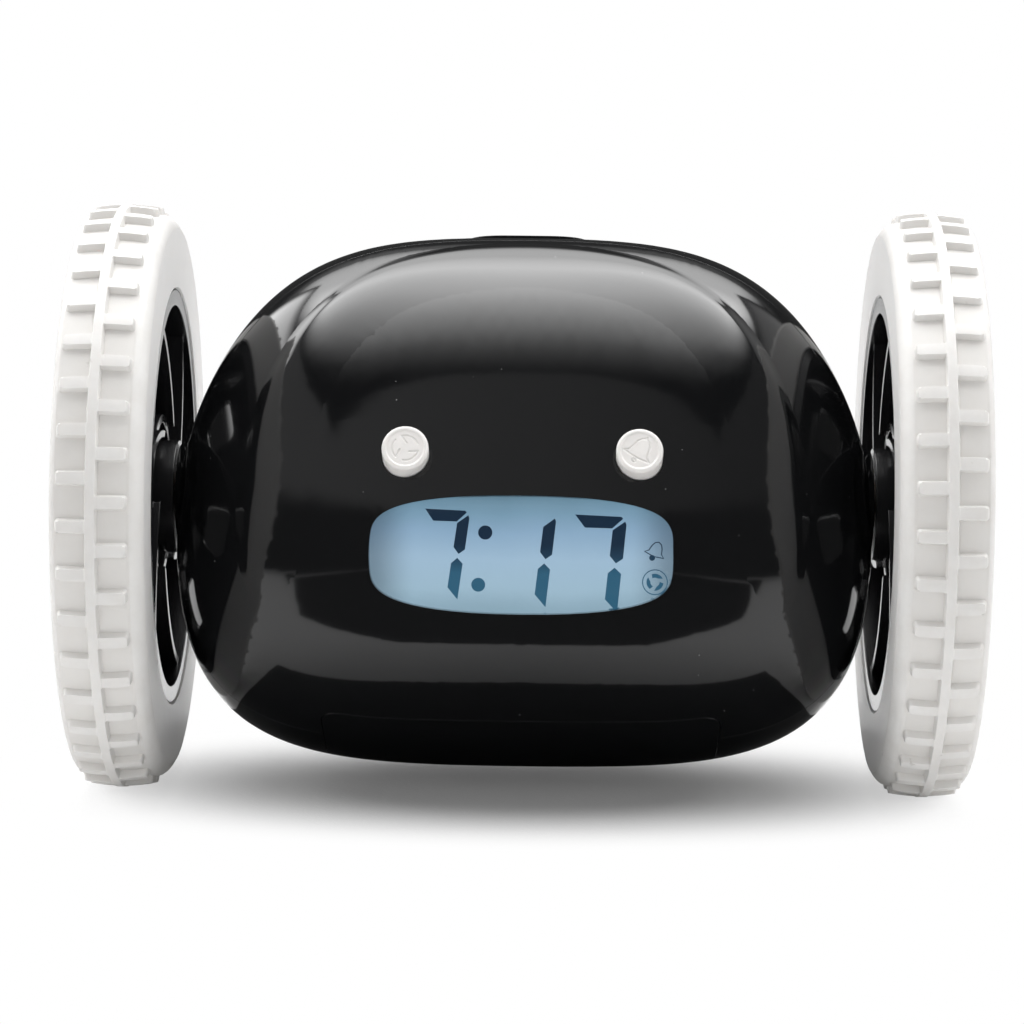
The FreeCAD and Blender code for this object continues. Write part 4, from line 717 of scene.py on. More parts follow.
CASE_BLACK = GlossMoulding("case_black")
HUB_BLACK = GlossMoulding("hub_black", (0.012, 0.012, 0.013), 0.16, 0.1, 0.25 * MM)
KEY_WHITE = SatinMoulding("key_white", (0.78, 0.76, 0.74), 0.36, 0.03, 0.3 * MM, 0.003 * MM,
                          0.15 * MM, 0.1)
KEY_BLACK = SatinMoulding("key_black", (0.010, 0.010, 0.011), 0.30, 0.2)
TYRE_WHITE = TyreRubber("tyre_white")
LENS_CLEAR = ClearMoulding("lens_clear")
GLASS_LIT = Backlight("glass_lit")
INK = CrystalInk("crystal_ink")
MILKY = SatinMoulding("diffuser_milky", (0.78, 0.82, 0.84), 0.35, 0.03, soft=0.3)
INNER_BLACK = SatinMoulding("inner_black", (0.016, 0.016, 0.017), 0.5)
NYLON = SatinMoulding("nylon_natural", (0.72, 0.69, 0.60), 0.42, 0.05, soft=0.2)
ACETAL = SatinMoulding("acetal_white", (0.78, 0.77, 0.73), 0.36, 0.04, soft=0.2)
BUSH = Metal("sintered_bronze", (0.16, 0.11, 0.07), 0.5, stain=(0.08, 0.055, 0.035))
STEEL = Metal("ground_steel", (0.60, 0.59, 0.57), 0.2, (0.1, 1.0, 1.0))
ZINC = Metal("zinc_screw", (0.56, 0.56, 0.55), 0.3)
BRASS = Metal("brass", (0.66, 0.48, 0.20), 0.26, stain=(0.40, 0.26, 0.10))
SPRING = Metal("nickel_spring", (0.68, 0.66, 0.62), 0.22)
MOTOR_CAN = Metal("motor_can", (0.50, 0.50, 0.50), 0.3, (0.15, 1.0, 1.0))
BOARD = CircuitBoard("board_green")
CHIPS = SatinMoulding("chip_black", (0.018, 0.018, 0.020), 0.45, 0.25)
RUBBER_STRIP = Striped("contact_rubber")
CELLS = CellJacket("cell_jacket")
CONE = SpeakerFace("speaker_face")

NODE_FINISHES: dict[str, Finish] = {
    "front_shell": CASE_BLACK, "rear_shell": CASE_BLACK, "battery_door": CASE_BLACK,
    "door_screw": ZINC, "case_screws": ZINC, "lcd_lens": LENS_CLEAR, "lcd_panel": GLASS_LIT,
    "backlight_diffuser": MILKY, "zebra_strip": RUBBER_STRIP, "lcd_holder": INNER_BLACK,
    "main_board": BOARD, "board_parts": CHIPS, "face_key_board": BOARD,
    "rear_key_board": BOARD, "snooze_board": BOARD, "tact_switches": CHIPS,
    "board_screws": ZINC, "run_button": KEY_WHITE, "alarm_button": KEY_WHITE,
    "snooze_button": KEY_BLACK, "time_set_button": KEY_WHITE, "alarm_set_button": KEY_WHITE,
    "hour_button": KEY_WHITE, "minute_button": KEY_WHITE, "speaker": CONE,
    "battery_tray": INNER_BLACK, "aaa_cells": CELLS, "battery_springs": SPRING,
    "battery_contacts": SPRING, "motor": MOTOR_CAN, "motor_pinion": BRASS,
    "idler_gear_1": NYLON, "idler_gear_2": NYLON, "output_gear": ACETAL,
    "gear_housing": INNER_BLACK, "motor_plate": INNER_BLACK, "gear_pins": STEEL,
    "gearbox_screws": ZINC, "axle": STEEL, "axle_bushes": BUSH, "wheel_hub": HUB_BLACK,
    "hub_screw": ZINC, "hub_cap": HUB_BLACK, "tyre": TYRE_WHITE,
}


class Side(Enum):
    """The two sides of the clock, with their direction on X."""

    LEFT = -1
    RIGHT = 1

    @property
    def word(self) -> str:
        """Name used in piece names."""
        return self.name.lower()


# ----------------------------------------------------------------- mesh tools
def new_piece(name: str, points: Sequence[Vector], faces: Sequence[Sequence[int]],
              finish: Finish, smooth: bool = True) -> bpy.types.Object:
    """Makes a mesh object.

    Args:
        name: Name of the piece.
        points: Its vertices, in metres.
        faces: Vertex numbers of each face.
        finish: What it is made of.
        smooth: True for smooth shading.

    Returns:
        The new object, linked to the scene.
    """
    mesh = bpy.data.meshes.new(name)
    mesh.from_pydata([tuple(p) for p in points], [], [tuple(f) for f in faces])
    mesh.validate()
    mesh.materials.append(finish.material())
    mesh.polygons.foreach_set("use_smooth", [smooth] * len(mesh.polygons))
    mesh.update()
    piece = bpy.data.objects.new(name, mesh)
    bpy.context.scene.collection.objects.link(piece)
    return piece


def grid_faces(rows: int, columns: int, ring: bool = False,
               tube: bool = False) -> list[tuple[int, ...]]:
    """Quads of a grid of points.

    Args:
        rows: Number of rows.
        columns: Number of points in each row.
        ring: True where each row closes on itself.
        tube: True where the last row joins the first.

    Returns:
        Vertex numbers of each quad.
    """
    faces = []
    for row in range(rows if tube else rows - 1):
        for column in range(columns if ring else columns - 1):
            nearer, farther = row * columns, (row + 1) % rows * columns
            right = (column + 1) % columns
            faces.append((nearer + column, nearer + right, farther + right, farther + column))
    return faces


def near_line(point: Point, line: Sequence[Point]) -> float:
    """Shortest distance from a point to a line of straight runs.

    Args:
        point: The point.
        line: Corners of the line, in order.

    Returns:
        The distance, in the unit of the points.
    """
    best = math.inf
    for (ax, ay), (bx, by) in zip(line, line[1:]):
        run_x, run_y = bx - ax, by - ay
        length = run_x * run_x + run_y * run_y
        share = 0.0
        if length > 0:
            along = (point[0] - ax) * run_x + (point[1] - ay) * run_y
            share = max(0.0, min(1.0, along / length))
        best = min(best, math.hypot(point[0] - ax - run_x * share, point[1] - ay - run_y * share))
    return best


def smooth_step(value: float, low: float, high: float) -> float:
    """Smooth rise from 0 at low to 1 at high."""
    share = max(0.0, min(1.0, (value - low) / (high - low)))
    return share * share * (3 - 2 * share)


def arc(centre: Point, radius: float, start: float, end: float, count: int = 12) -> list[Point]:
    """Points on a circle between two angles in degrees."""
    turns = [math.radians(start + (end - start) * step / count) for step in range(count + 1)]
    return [(centre[0] + radius * math.cos(t), centre[1] + radius * math.sin(t)) for t in turns]


def turned(line: Sequence[Point], angle: float, centre: Point = (0.0, 0.0)) -> list[Point]:
    """Turns a line about its own origin and sets it on a centre.

    Args:
        line: Points of the line.
        angle: The turn in degrees.
        centre: Where the line's origin comes to lie.

    Returns:
        The turned points.
    """
    turn = math.radians(angle)
    return [(centre[0] + x * math.cos(turn) - y * math.sin(turn),
             centre[1] + x * math.sin(turn) + y * math.cos(turn)) for x, y in line]


def leaning(angle: float) -> tuple[Vector, Vector]:
    """Directions of a plane on the front that leans back.

    Args:
        angle: Its lean from upright, in degrees.

    Returns:
        The way out of the plane and the way up along it.
    """
    tilt = math.radians(angle)
    return (Vector((0, -math.cos(tilt), math.sin(tilt))),
            Vector((0, math.sin(tilt), math.cos(tilt))))


def mark(piece: bpy.types.Object, name: str, values: Sequence[float]) -> None:
    """Gives each vertex of a piece a value that its finish reads by that name."""
    layer = piece.data.attributes.new(name, "FLOAT", "POINT")
    layer.data.foreach_set("value", values)


# --------------------------------------------------------------------- wheels
@dataclass(frozen=True)
class Tyre:
    """Moulded tyre: flat walls, creased shoulders, centre ridge and staggered rows of lugs.

    Distances across the tyre are taken from the ridge, positive away from the case.
    """

    axle_z: float = 44.45 * MM
    ridge_x: float = 60.625 * MM
    walls: Point = (-7.25 * MM, 6.05 * MM)
    creases: Point = (40.9 * MM, 42.0 * MM)
    bore_mm: float = 31.65
    top: float = 44.45 * MM
    floor: float = 43.2 * MM
    crown_drop: float = 0.45 * MM
    ridge_half: float = 0.8 * MM
    lug_reach: float = 5.0 * MM
    lug_half: float = 1.0 * MM
    lug_corner: float = 0.5 * MM
    lug_drop: float = 0.1 * MM
    edge: float = 0.28 * MM
    shoulder_bend: float = 2.4
    station_mm: float = 0.45
    stations: int = 29
    row_blend: float = 0.6
    recess_margin: float = 0.3 * MM
    sharp: float = 38.0
    lugs: int = 40
    angle_steps: tuple[float, ...] = (-3.2, -2.3, -1.6, -1.25, -1.12, -1.0, -0.88, -0.7, 0.0,
                                      0.7, 0.88, 1.0, 1.12, 1.25, 1.6, 2.3)

    def carcass(self, across: float) -> float:
        """Radius of the tread's floor, or of the shoulder beyond it.

        Args:
            across: Distance from the ridge.

        Returns:
            The radius.
        """
        share = abs(across) / self.lug_reach
        if share <= 1:
            return self.floor - self.crown_drop * share ** 2
        wall, crease = (abs(self.walls[across > 0]), self.creases[across > 0])
        start = self.floor - self.crown_drop
        along = min(1.0, (abs(across) - self.lug_reach) / (wall - self.lug_reach))
        return start - (start - crease) * along ** self.shoulder_bend

    def lug_cover(self, along: float, across: float) -> float:
        """How much of the full lug stands at a point.

        Args:
            along: Distance from the lug's middle, round the tyre.
            across: Distance from the ridge.

        Returns:
            Share from 0 to 1.
        """
        outside = (max(0.0, abs(along) - self.lug_half + self.lug_corner),
                   max(0.0, abs(across) - self.lug_reach + self.lug_corner))
        gap = math.hypot(*outside) - self.lug_corner
        return smooth_step(-gap, -self.edge / 2, self.edge / 2)

    def tread(self, along: float, across: float) -> tuple[float, float]:
        """Running surface at a point.

        Args:
            along: Distance from the lug's middle, round the tyre.
            across: Distance from the ridge.

        Returns:
            Its radius, and how clean it is from 0 to 1.
        """
        base = self.carcass(across)
        lug = self.lug_cover(along, across)
        ridge = 1 - smooth_step(abs(across), self.ridge_half - self.edge / 2,
                                self.ridge_half + self.edge / 2)
        lug_top = base + self.top - self.floor - self.lug_drop
        radius = base + (lug_top - base) * lug
        return radius + (self.top - radius) * ridge, max(lug, ridge)

    def section(self) -> list[tuple[float, float | None]]:
        """Stations round the section of the tyre.

        Returns:
            Distance of each from the ridge, and its radius, or None on the tread.
        """
        fine = [-0.25, -0.16, -0.08, 0.0, 0.08, 0.16, 0.25]
        run = {round(side * (edge / MM + shift), 3) for side in (-1, 1)
               for edge in (self.ridge_half, self.lug_reach) for shift in fine}
        run |= {round(self.walls[0] / MM + step * self.station_mm, 3)
                for step in range(self.stations)}
        run = {x for x in run if x < self.walls[1] / MM - 0.1}
        run |= {self.walls[1] / MM - 0.3, self.walls[1] / MM - 0.12, self.walls[1] / MM}
        tread: list[tuple[float, float | None]] = [(x * MM, None) for x in sorted(run)]
        inner, outer = self.walls
        rims_mm = [(outer, 41.8), (outer, 38.0), (outer, 33.0), (outer - 0.1 * MM, 32.0),
                   (outer - 0.4 * MM, self.bore_mm), (inner + 0.4 * MM, self.bore_mm),
                   (inner + 0.1 * MM, 31.9), (inner, 32.6), (inner, 35.0), (inner, 38.0),
                   (inner, 40.2), (inner, 40.75)]
        return tread + [(x, radius * MM) for x, radius in rims_mm]

    def build(self, side: Side) -> bpy.types.Object:
        """Makes the tyre of one side, in place of its plain solid.

        Args:
            side: The side of the clock.

        Returns:
            The piece.
        """
        pitch = 2 * math.pi * self.top / self.lugs
        section = self.section()
        points: list[Vector] = []
        recess: list[float] = []
        wall: list[float] = []
        for across, fixed in section:
            blend = self.ridge_half * self.row_blend
            row = smooth_step(across, -blend, blend) * 2 - 1
            phase = row * side.value / 4 * pitch
            for lug in range(self.lugs):
                for step in self.angle_steps:
                    radius, clean = (fixed, 1.0) if fixed is not None else \
                        self.tread(step * MM, across)
                    turn = (lug * pitch + step * MM + phase) / self.top
                    x = side.value * (self.ridge_x + across)
                    points.append(Vector((x, -radius * math.sin(turn),
                                          self.axle_z + radius * math.cos(turn))))
                    on_tread = fixed is None and abs(across) < self.lug_reach + self.recess_margin
                    recess.append((1 - clean) if on_tread else 0.0)
                    wall.append(1.0 if fixed is not None and across < 0 else 0.0)
        columns = self.lugs * len(self.angle_steps)
        faces = grid_faces(len(section), columns, ring=True, tube=True)
        if side is Side.RIGHT:
            faces = [tuple(reversed(f)) for f in faces]
        piece = new_piece(f"{side.word}_tyre_moulding", points, faces, TYRE_WHITE)
        piece.data.set_sharp_from_angle(angle=math.radians(self.sharp))
        mark(piece, "recess", recess)
        mark(piece, "wall", wall)
        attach(piece, f"{side.word}_wheel")
        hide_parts(f"{side.word}_tyre")
        return piece


# ----------------------------------------------------------------------- case
@dataclass(frozen=True)
class AxleBoss:
    """Round boss moulded on each end of the case, which closes the gap behind the wheel.

    The profile gives distance from the middle of the clock and radius, in mm.
    """

    axle_z: float = 44.45 * MM
    profile: tuple[Point, ...] = ((47.6, 9.9), (48.6, 9.1), (49.8, 8.5), (51.4, 8.25),
                                  (52.3, 8.15), (52.62, 7.95), (52.7, 7.6), (52.7, 3.6),
                                  (52.4, 3.3), (48.5, 3.3))
    turns: int = 96
    sharp: float = 40.0

    def build(self, side: Side) -> bpy.types.Object:
        """Makes the boss of one side, as part of the case.

        Args:
            side: The side of the clock.

        Returns:
            The piece.
        """
        points = []
        for x, radius in self.profile:
            for turn in range(self.turns):
                angle = 2 * math.pi * turn / self.turns * side.value
                points.append(Vector((side.value * x * MM, -radius * MM * math.sin(angle),
                                      self.axle_z + radius * MM * math.cos(angle))))
        faces = grid_faces(len(self.profile), self.turns, ring=True, tube=True)
        piece = new_piece(f"{side.word}_axle_boss", points, faces, CASE_BLACK)
        piece.data.set_sharp_from_angle(angle=math.radians(self.sharp))
        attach(piece, "case")
        return piece


@dataclass(frozen=True)
class FaceBorder:
    """Shallow raised border round the face, laid on the shells' own surface.

    The contour is given in mm on a plane that leans back like the face: across, and up
    from the axle's height. The profile gives distance inwards from the contour and height,
    in mm. At both ends the strip runs out into the shells, by run_out knots.
    """

    axle_z: float = 44.45 * MM
    tilt: float = 28.0
    contour: tuple[Point, ...] = ((33.8, -33.8), (36.2, -28.0), (38.7, -21.0), (39.8, -13.0),
                                  (39.2, -2.0), (35.3, 9.9), (29.3, 18.8), (21.3, 24.9),
                                  (11.1, 28.3))
    top: Point = (0.0, 29.5)
    profile: tuple[Point, ...] = ((-2.6, -0.06), (-2.2, -0.025), (-1.8, 0.005), (-1.4, 0.05),
                                  (-1.0, 0.13), (-0.6, 0.23), (-0.2, 0.31), (0.2, 0.36),
                                  (0.8, 0.38), (1.6, 0.37), (2.6, 0.33), (4.0, 0.24), (5.5, 0.14),
                                  (7.0, 0.06), (8.5, 0.01), (10.0, -0.02), (11.0, -0.06))
    fill: int = 12
    run_out: float = 1.5
    sunk_mm: float = 0.06
    cast_mm: float = 60.0

    def line(self) -> list[Vector]:
        """Smooth contour from the lower left over the top to the lower right.

        Returns:
            Its points, in mm.
        """
        half = [Vector((x, y)) for x, y in self.contour]
        knots = [Vector((-k.x, k.y)) for k in half] + [Vector(self.top)] + list(reversed(half))
        found = []
        for i in range(1, len(knots) - 2):
            before, start, end, after = knots[i - 1:i + 3]
            for step in range(self.fill):
                t = step / self.fill
                found.append(0.5 * (2 * start + (end - before) * t
                                    + (2 * before - 5 * start + 4 * end - after) * t ** 2
                                    + (3 * start - before - 3 * end + after) * t ** 3))
        return found + [knots[-2]]

    def cast(self, out: Vector, upward: Vector) -> list[list[Vector]]:
        """Finds where the strip's rows meet the outside of the shells.

        Args:
            out: The way out of the face.
            upward: The way up along it.

        Returns:
            The points of each row.
        """
        trees = []
        for name in ("front_shell", "rear_shell"):
            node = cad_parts[name]
            corners = [node.matrix_world @ v.co for v in node.data.vertices]
            trees.append(BVHTree.FromPolygons(corners, [p.vertices for p in node.data.polygons]))
        line = self.line()
        rows: list[list[Vector]] = []
        for i, point in enumerate(line):
            run = (line[min(i + 1, len(line) - 1)] - line[max(i - 1, 0)]).normalized()
            inward = Vector((run.y, -run.x))
            row = []
            for reach, _ in self.profile:
                spot = point + inward * reach
                start = (Vector((spot.x * MM, 0, self.axle_z)) + upward * (spot.y * MM)
                         + out * self.cast_mm * MM)
                hits = [tree.ray_cast(start, -out) for tree in trees]
                row.append(min((h for h in hits if h[0] is not None), key=lambda h: h[3])[0])
            rows.append(row)
        return rows

    def build(self) -> bpy.types.Object:
        """Lays the strip on the shells and lifts it by its profile.

        Returns:
            The piece.
        """
        out, upward = leaning(self.tilt)
        rows = self.cast(out, upward)
        across = len(self.profile)
        points = []
        for i, row in enumerate(rows):
            ends = smooth_step(min(i, len(rows) - 1 - i), 0, self.run_out * self.fill)
            for j, hit in enumerate(row):
                along = rows[min(i + 1, len(rows) - 1)][j] - rows[max(i - 1, 0)][j]
                normal = along.cross(row[min(j + 1, across - 1)] - row[max(j - 1, 0)]).normalized()
                if normal.dot(out) < 0:
                    normal = -normal
                height = self.profile[j][1] * ends - self.sunk_mm * (1 - ends)
                points.append(hit + normal * (height * MM))
        faces = [(i * across + j, (i + 1) * across + j, (i + 1) * across + j + 1,
                  i * across + j + 1) for i in range(len(rows) - 1) for j in range(across - 1)]
        piece = new_piece("face_border", points, faces, CASE_BLACK)
        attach(piece, "case")
        return piece


# -------------------------------------------------------------------- buttons
class Glyph(Enum):
    """Line drawings sunk into the caps, in shares of the cap's radius."""

    RUN = "run"
    BELL = "bell"

    def lines(self) -> list[list[Point]]:
        """Draws the glyph.

        Returns:
            Its strokes, each a line of points.
        """
        if self is Glyph.RUN:
            reach, hub = 0.56, 0.24
            return [arc((0.0, 0.0), reach, turn, turn + 86, 14) +
                    [(hub * math.cos(math.radians(turn + 58)),
                      hub * math.sin(math.radians(turn + 58)))] for turn in (20, 140, 260)]
        lean = -30.0
        body = [(-0.60, -0.28), (-0.42, -0.15), (-0.35, 0.10), (-0.31, 0.33), (-0.19, 0.51),
                (-0.05, 0.58), (0.0, 0.68), (0.05, 0.58), (0.19, 0.51), (0.31, 0.33),
                (0.35, 0.10), (0.42, -0.15), (0.60, -0.28)]
        rim = [(-0.60, -0.28), (-0.2, -0.33), (0.2, -0.33), (0.60, -0.28)]
        clapper = arc((0.0, -0.50), 0.08, 0, 360, 8)
        return [turned(line, lean) for line in (body, rim, clapper)]


@dataclass(frozen=True)
class EyeCap:
    """Round face button: rounded rim, shallow dish and a sunk drawing."""

    node: str
    body: str
    x: float
    glyph: Glyph
    origin: tuple[float, float, float] = (0.0, -34.758 * MM, 55.85 * MM)
    tilt: float = 28.0
    radius: float = 3.35 * MM
    proud: float = 2.7 * MM
    edge: float = 0.4 * MM
    dish: float = 0.16 * MM
    dish_share: float = 0.80
    line_half: float = 0.14 * MM
    line_depth: float = 0.13 * MM
    flange_back: float = 4.0 * MM
    flange_radius: float = 4.3 * MM
    flange: float = 0.7 * MM
    stem_radius: float = 1.4 * MM
    stem: float = 3.6 * MM
    stem_edge: float = 0.2 * MM
    turns: int = 220
    rings: int = 74
    sharp: float = 50.0

    def face_height(self, across: float, up: float, lines: list[list[Point]]) -> float:
        """Height of the cap's face above its own level.

        Args:
            across: Distance to the right of the cap's middle.
            up: Distance up from it.
            lines: Strokes of the drawing, in shares of the radius.

        Returns:
            The height, in metres.
        """
        reach = math.hypot(across, up)
        height = 0.0
        outer = self.radius - self.edge
        if reach > outer:
            height -= self.edge - math.sqrt(max(0.0, self.edge ** 2 - (reach - outer) ** 2))
        rim = self.radius * self.dish_share
        height -= self.dish * (1 - smooth_step(reach, rim - 0.14 * MM, rim + 0.14 * MM))
        point = (across / self.radius, up / self.radius)
        gap = min(near_line(point, line) for line in lines) * self.radius
        return height - self.line_depth * (1 - smooth_step(gap, self.line_half * 0.45,
                                                           self.line_half * 1.3))

    def build(self) -> bpy.types.Object:
        """Makes the button, in place of its plain solid.

        Returns:
            The piece.
        """
        out, upward = leaning(self.tilt)
        origin = Vector(self.origin)
        lines = self.glyph.lines()
        flat = self.radius - self.edge
        rings: list[tuple[float, float | None]] = [
            (flat * (ring + 1) / self.rings, None) for ring in range(self.rings)]
        rings += [(flat + self.edge * math.sin(math.radians(angle)), None)
                  for angle in (20, 40, 60, 80, 90)]
        back = -self.flange_back
        rings += [(self.radius, back + self.flange), (self.flange_radius, back + self.flange),
                  (self.flange_radius, back), (self.stem_radius, back),
                  (self.stem_radius, back - self.stem + self.stem_edge),
                  (self.stem_radius - self.stem_edge, back - self.stem)]
        points = [origin + Vector((self.x, 0, 0))
                  + out * (self.proud + self.face_height(0, 0, lines))]
        for reach, fixed in rings:
            for turn in range(self.turns):
                angle = 2 * math.pi * turn / self.turns
                across, up = reach * math.cos(angle), reach * math.sin(angle)
                level = self.proud + self.face_height(across, up, lines) if fixed is None else fixed
                points.append(origin + Vector((self.x + across, 0, 0)) + upward * up + out * level)
        faces = [tuple(i + 1 for i in reversed(face))
                 for face in grid_faces(len(rings), self.turns, ring=True)]
        faces += [(0, turn + 1, (turn + 1) % self.turns + 1) for turn in range(self.turns)]
        faces.append(tuple((len(rings) - 1) * self.turns + 1 + turn
                           for turn in reversed(range(self.turns))))
        piece = new_piece(f"{self.node}_cap", points, faces, KEY_WHITE)
        piece.data.set_sharp_from_angle(angle=math.radians(self.sharp))
        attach(piece, self.body)
        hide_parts(self.node)
        return piece


# -------------------------------------------------------------------- display
@dataclass(frozen=True)
class Digit:
    """A seven-bar figure: its lit bars, then its left end at the top, foot, height, unit of
    width and lean, all in mm.
    """

    bars: str
    x: float
    base: float
    height: float
    width: float
    lean: float


@dataclass(frozen=True)
class Display:
    """Dark figures and signs on the front of the liquid-crystal glass.

    Dots, bell and fan are given in mm on the glass: across, and up from its middle.
    """

    origin: tuple[float, float, float] = (0.0, -32.4 * MM, 42.05 * MM)
    tilt: float = 5.0
    lift: float = 0.02 * MM
    thickness: float = 0.03 * MM
    digits: tuple[Digit, ...] = (Digit("abc", -13.93, -7.45, 13.05, 13.05, 1.63),
                                 Digit("bc", -1.84, -8.41, 13.73, 13.73, 1.37),
                                 Digit("abc", 7.62, -9.05, 14.06, 15.03, 1.16))
    dots: tuple[tuple[float, float, float], ...] = ((-5.27, 2.26, 1.02), (-6.2, -5.28, 1.0))
    bell: tuple[Point, ...] = ((-1.5, -0.6), (-0.95, -0.2), (-0.8, 0.5), (-0.5, 1.1),
                               (0.0, 1.35), (0.5, 1.1), (0.8, 0.5), (0.95, -0.2),
                               (1.5, -0.6), (0.0, -0.85))
    bell_at: Point = (19.25, -0.1)
    bell_lean: float = -20.0
    bell_line: float = 0.15
    clapper_at: Point = (18.75, -1.1)
    clapper: float = 0.42
    fan_at: Point = (19.21, -4.6)
    fan_ring: float = 1.78
    fan_line: float = 0.14
    blade_reach: Point = (0.66, 1.22)
    blade_turns: tuple[int, ...] = (25, 145, 265)

    def at(self, x: float, up: float, out: float) -> Vector:
        """Point at a place across, up and out of the glass, in metres."""
        outward, upward = leaning(self.tilt)
        return Vector(self.origin) + Vector((x, 0, 0)) + upward * up + outward * out

    @staticmethod
    def bars() -> dict[str, list[Point]]:
        """Bars of a figure of height 1, before it leans.

        Returns:
            The outline of each bar by its letter.
        """
        return {"a": [(0.0, 1.0), (0.444, 0.982), (0.462, 0.962), (0.366, 0.862), (0.105, 0.868)],
                "b": [(0.484, 0.933), (0.500, 0.900), (0.497, 0.553), (0.433, 0.504),
                      (0.368, 0.580), (0.372, 0.844)],
                "c": [(0.425, 0.460), (0.493, 0.397), (0.489, 0.0), (0.361, 0.134),
                      (0.365, 0.402)]}

    def plate(self, outline: Sequence[Point], points: list[Vector],
              faces: list[tuple[int, ...]]) -> None:
        """Adds one thin plate.

        Args:
            outline: Its corners in mm on the glass.
            points: Vertices so far, which grow.
            faces: Faces so far, which grow.
        """
        start = len(points)
        count = len(outline)
        for out in (self.lift, self.lift + self.thickness):
            points.extend(self.at(x * MM, up * MM, out) for x, up in outline)
        faces.append(tuple(start + count + i for i in range(count)))
        faces.append(tuple(start + i for i in reversed(range(count))))
        faces.extend((start + i, start + (i + 1) % count, start + count + (i + 1) % count,
                      start + count + i) for i in range(count))

    def stroke(self, line: Sequence[Point], width: float, points: list[Vector],
               faces: list[tuple[int, ...]], closed: bool = False) -> None:
        """Adds one drawn line as a row of thin plates.

        Args:
            line: Its points in mm on the glass.
            width: Its width in mm.
            points: Vertices so far, which grow.
            faces: Faces so far, which grow.
            closed: True where its end joins its start.
        """
        count = len(line)
        left: list[Point] = []
        right: list[Point] = []
        for index, (x, y) in enumerate(line):
            before = line[(index - 1) % count] if closed else line[max(0, index - 1)]
            after = line[(index + 1) % count] if closed else line[min(count - 1, index + 1)]
            run = math.hypot(after[0] - before[0], after[1] - before[1])
            side = (-(after[1] - before[1]) / run * width / 2,
                    (after[0] - before[0]) / run * width / 2)
            left.append((x + side[0], y + side[1]))
            right.append((x - side[0], y - side[1]))
        for index in range(count if closed else count - 1):
            after = (index + 1) % count
            self.plate([right[index], right[after], left[after], left[index]], points, faces)

    def figures(self) -> bpy.types.Object:
        """Makes the time and its colon.

        Returns:
            The piece.
        """
        points: list[Vector] = []
        faces: list[tuple[int, ...]] = []
        for digit in self.digits:
            for name, outline in self.bars().items():
                if name in digit.bars:
                    placed = [(digit.x + x * digit.width + (y - 1) * digit.lean,
                               digit.base + y * digit.height) for x, y in outline]
                    self.plate(list(reversed(placed)), points, faces)
        for x, up, radius in self.dots:
            self.plate(arc((x, up), radius, 0, 350, 35), points, faces)
        return self.settle(new_piece("time_figures", points, faces, INK, False))

    def signs(self) -> bpy.types.Object:
        """Makes the small bell and the fan of three blades beside the time.

        Returns:
            The piece.
        """
        points: list[Vector] = []
        faces: list[tuple[int, ...]] = []
        bell = turned(self.bell, self.bell_lean, self.bell_at)
        self.stroke(bell, self.bell_line, points, faces, True)
        self.plate(arc(self.clapper_at, self.clapper, 0, 345, 23), points, faces)
        ring = arc(self.fan_at, self.fan_ring, 0, 354, 59)
        self.stroke(ring, self.fan_line, points, faces, True)
        near, far = self.blade_reach
        for start in self.blade_turns:
            outer = arc(self.fan_at, far, start, start + 88, 14)
            inner = arc(self.fan_at, near, start + 100, start + 30, 12)
            self.plate(outer + inner, points, faces)
        return self.settle(new_piece("display_signs", points, faces, INK, False))

    @staticmethod
    def settle(piece: bpy.types.Object) -> bpy.types.Object:
        """Fixes a piece to the case.

        Args:
            piece: The piece.

        Returns:
            The same piece.
        """
        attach(piece, "case")
        return piece


# --------------------------------------------------------------------- studio
@dataclass(frozen=True)
class Lamp:
    """A soft area light: where it stands, where it points, its size and its power."""

    name: str
    place: tuple[float, float, float]
    aim: tuple[float, float, float]
    size: Point
    power: float

    def build(self) -> bpy.types.Object:
        """Makes the lamp. What mirrors see of it is left to the soft boxes.

        Returns:
            The lamp.
        """
        data = bpy.data.lights.new(self.name, "AREA")
        data.shape = "RECTANGLE"
        data.size, data.size_y = self.size
        data.energy = self.power
        lamp = bpy.data.objects.new(self.name, data)
        lamp.location = self.place
        back = Vector(self.place) - Vector(self.aim)
        lamp.rotation_euler = back.to_track_quat("Z", "Y").to_euler()
        lamp.visible_camera = False
        lamp.visible_glossy = False
        bpy.context.scene.collection.objects.link(lamp)
        return lamp


@dataclass(frozen=True)
class Glow(Finish):
    """Cloth of a soft box: its light follows the mesh's own marks."""

    def paint(self, sheet: Sheet) -> None:
        """Plain light of the level that each vertex is marked with.

        Args:
            sheet: Node tree that the nodes go to.
        """
        light = sheet.add("ShaderNodeEmission", None,
                          {"Color": (1.0, 1.0, 1.0), "Strength": sheet.attribute("glow")})
        sheet.add("ShaderNodeOutputMaterial", None, {"Surface": light})


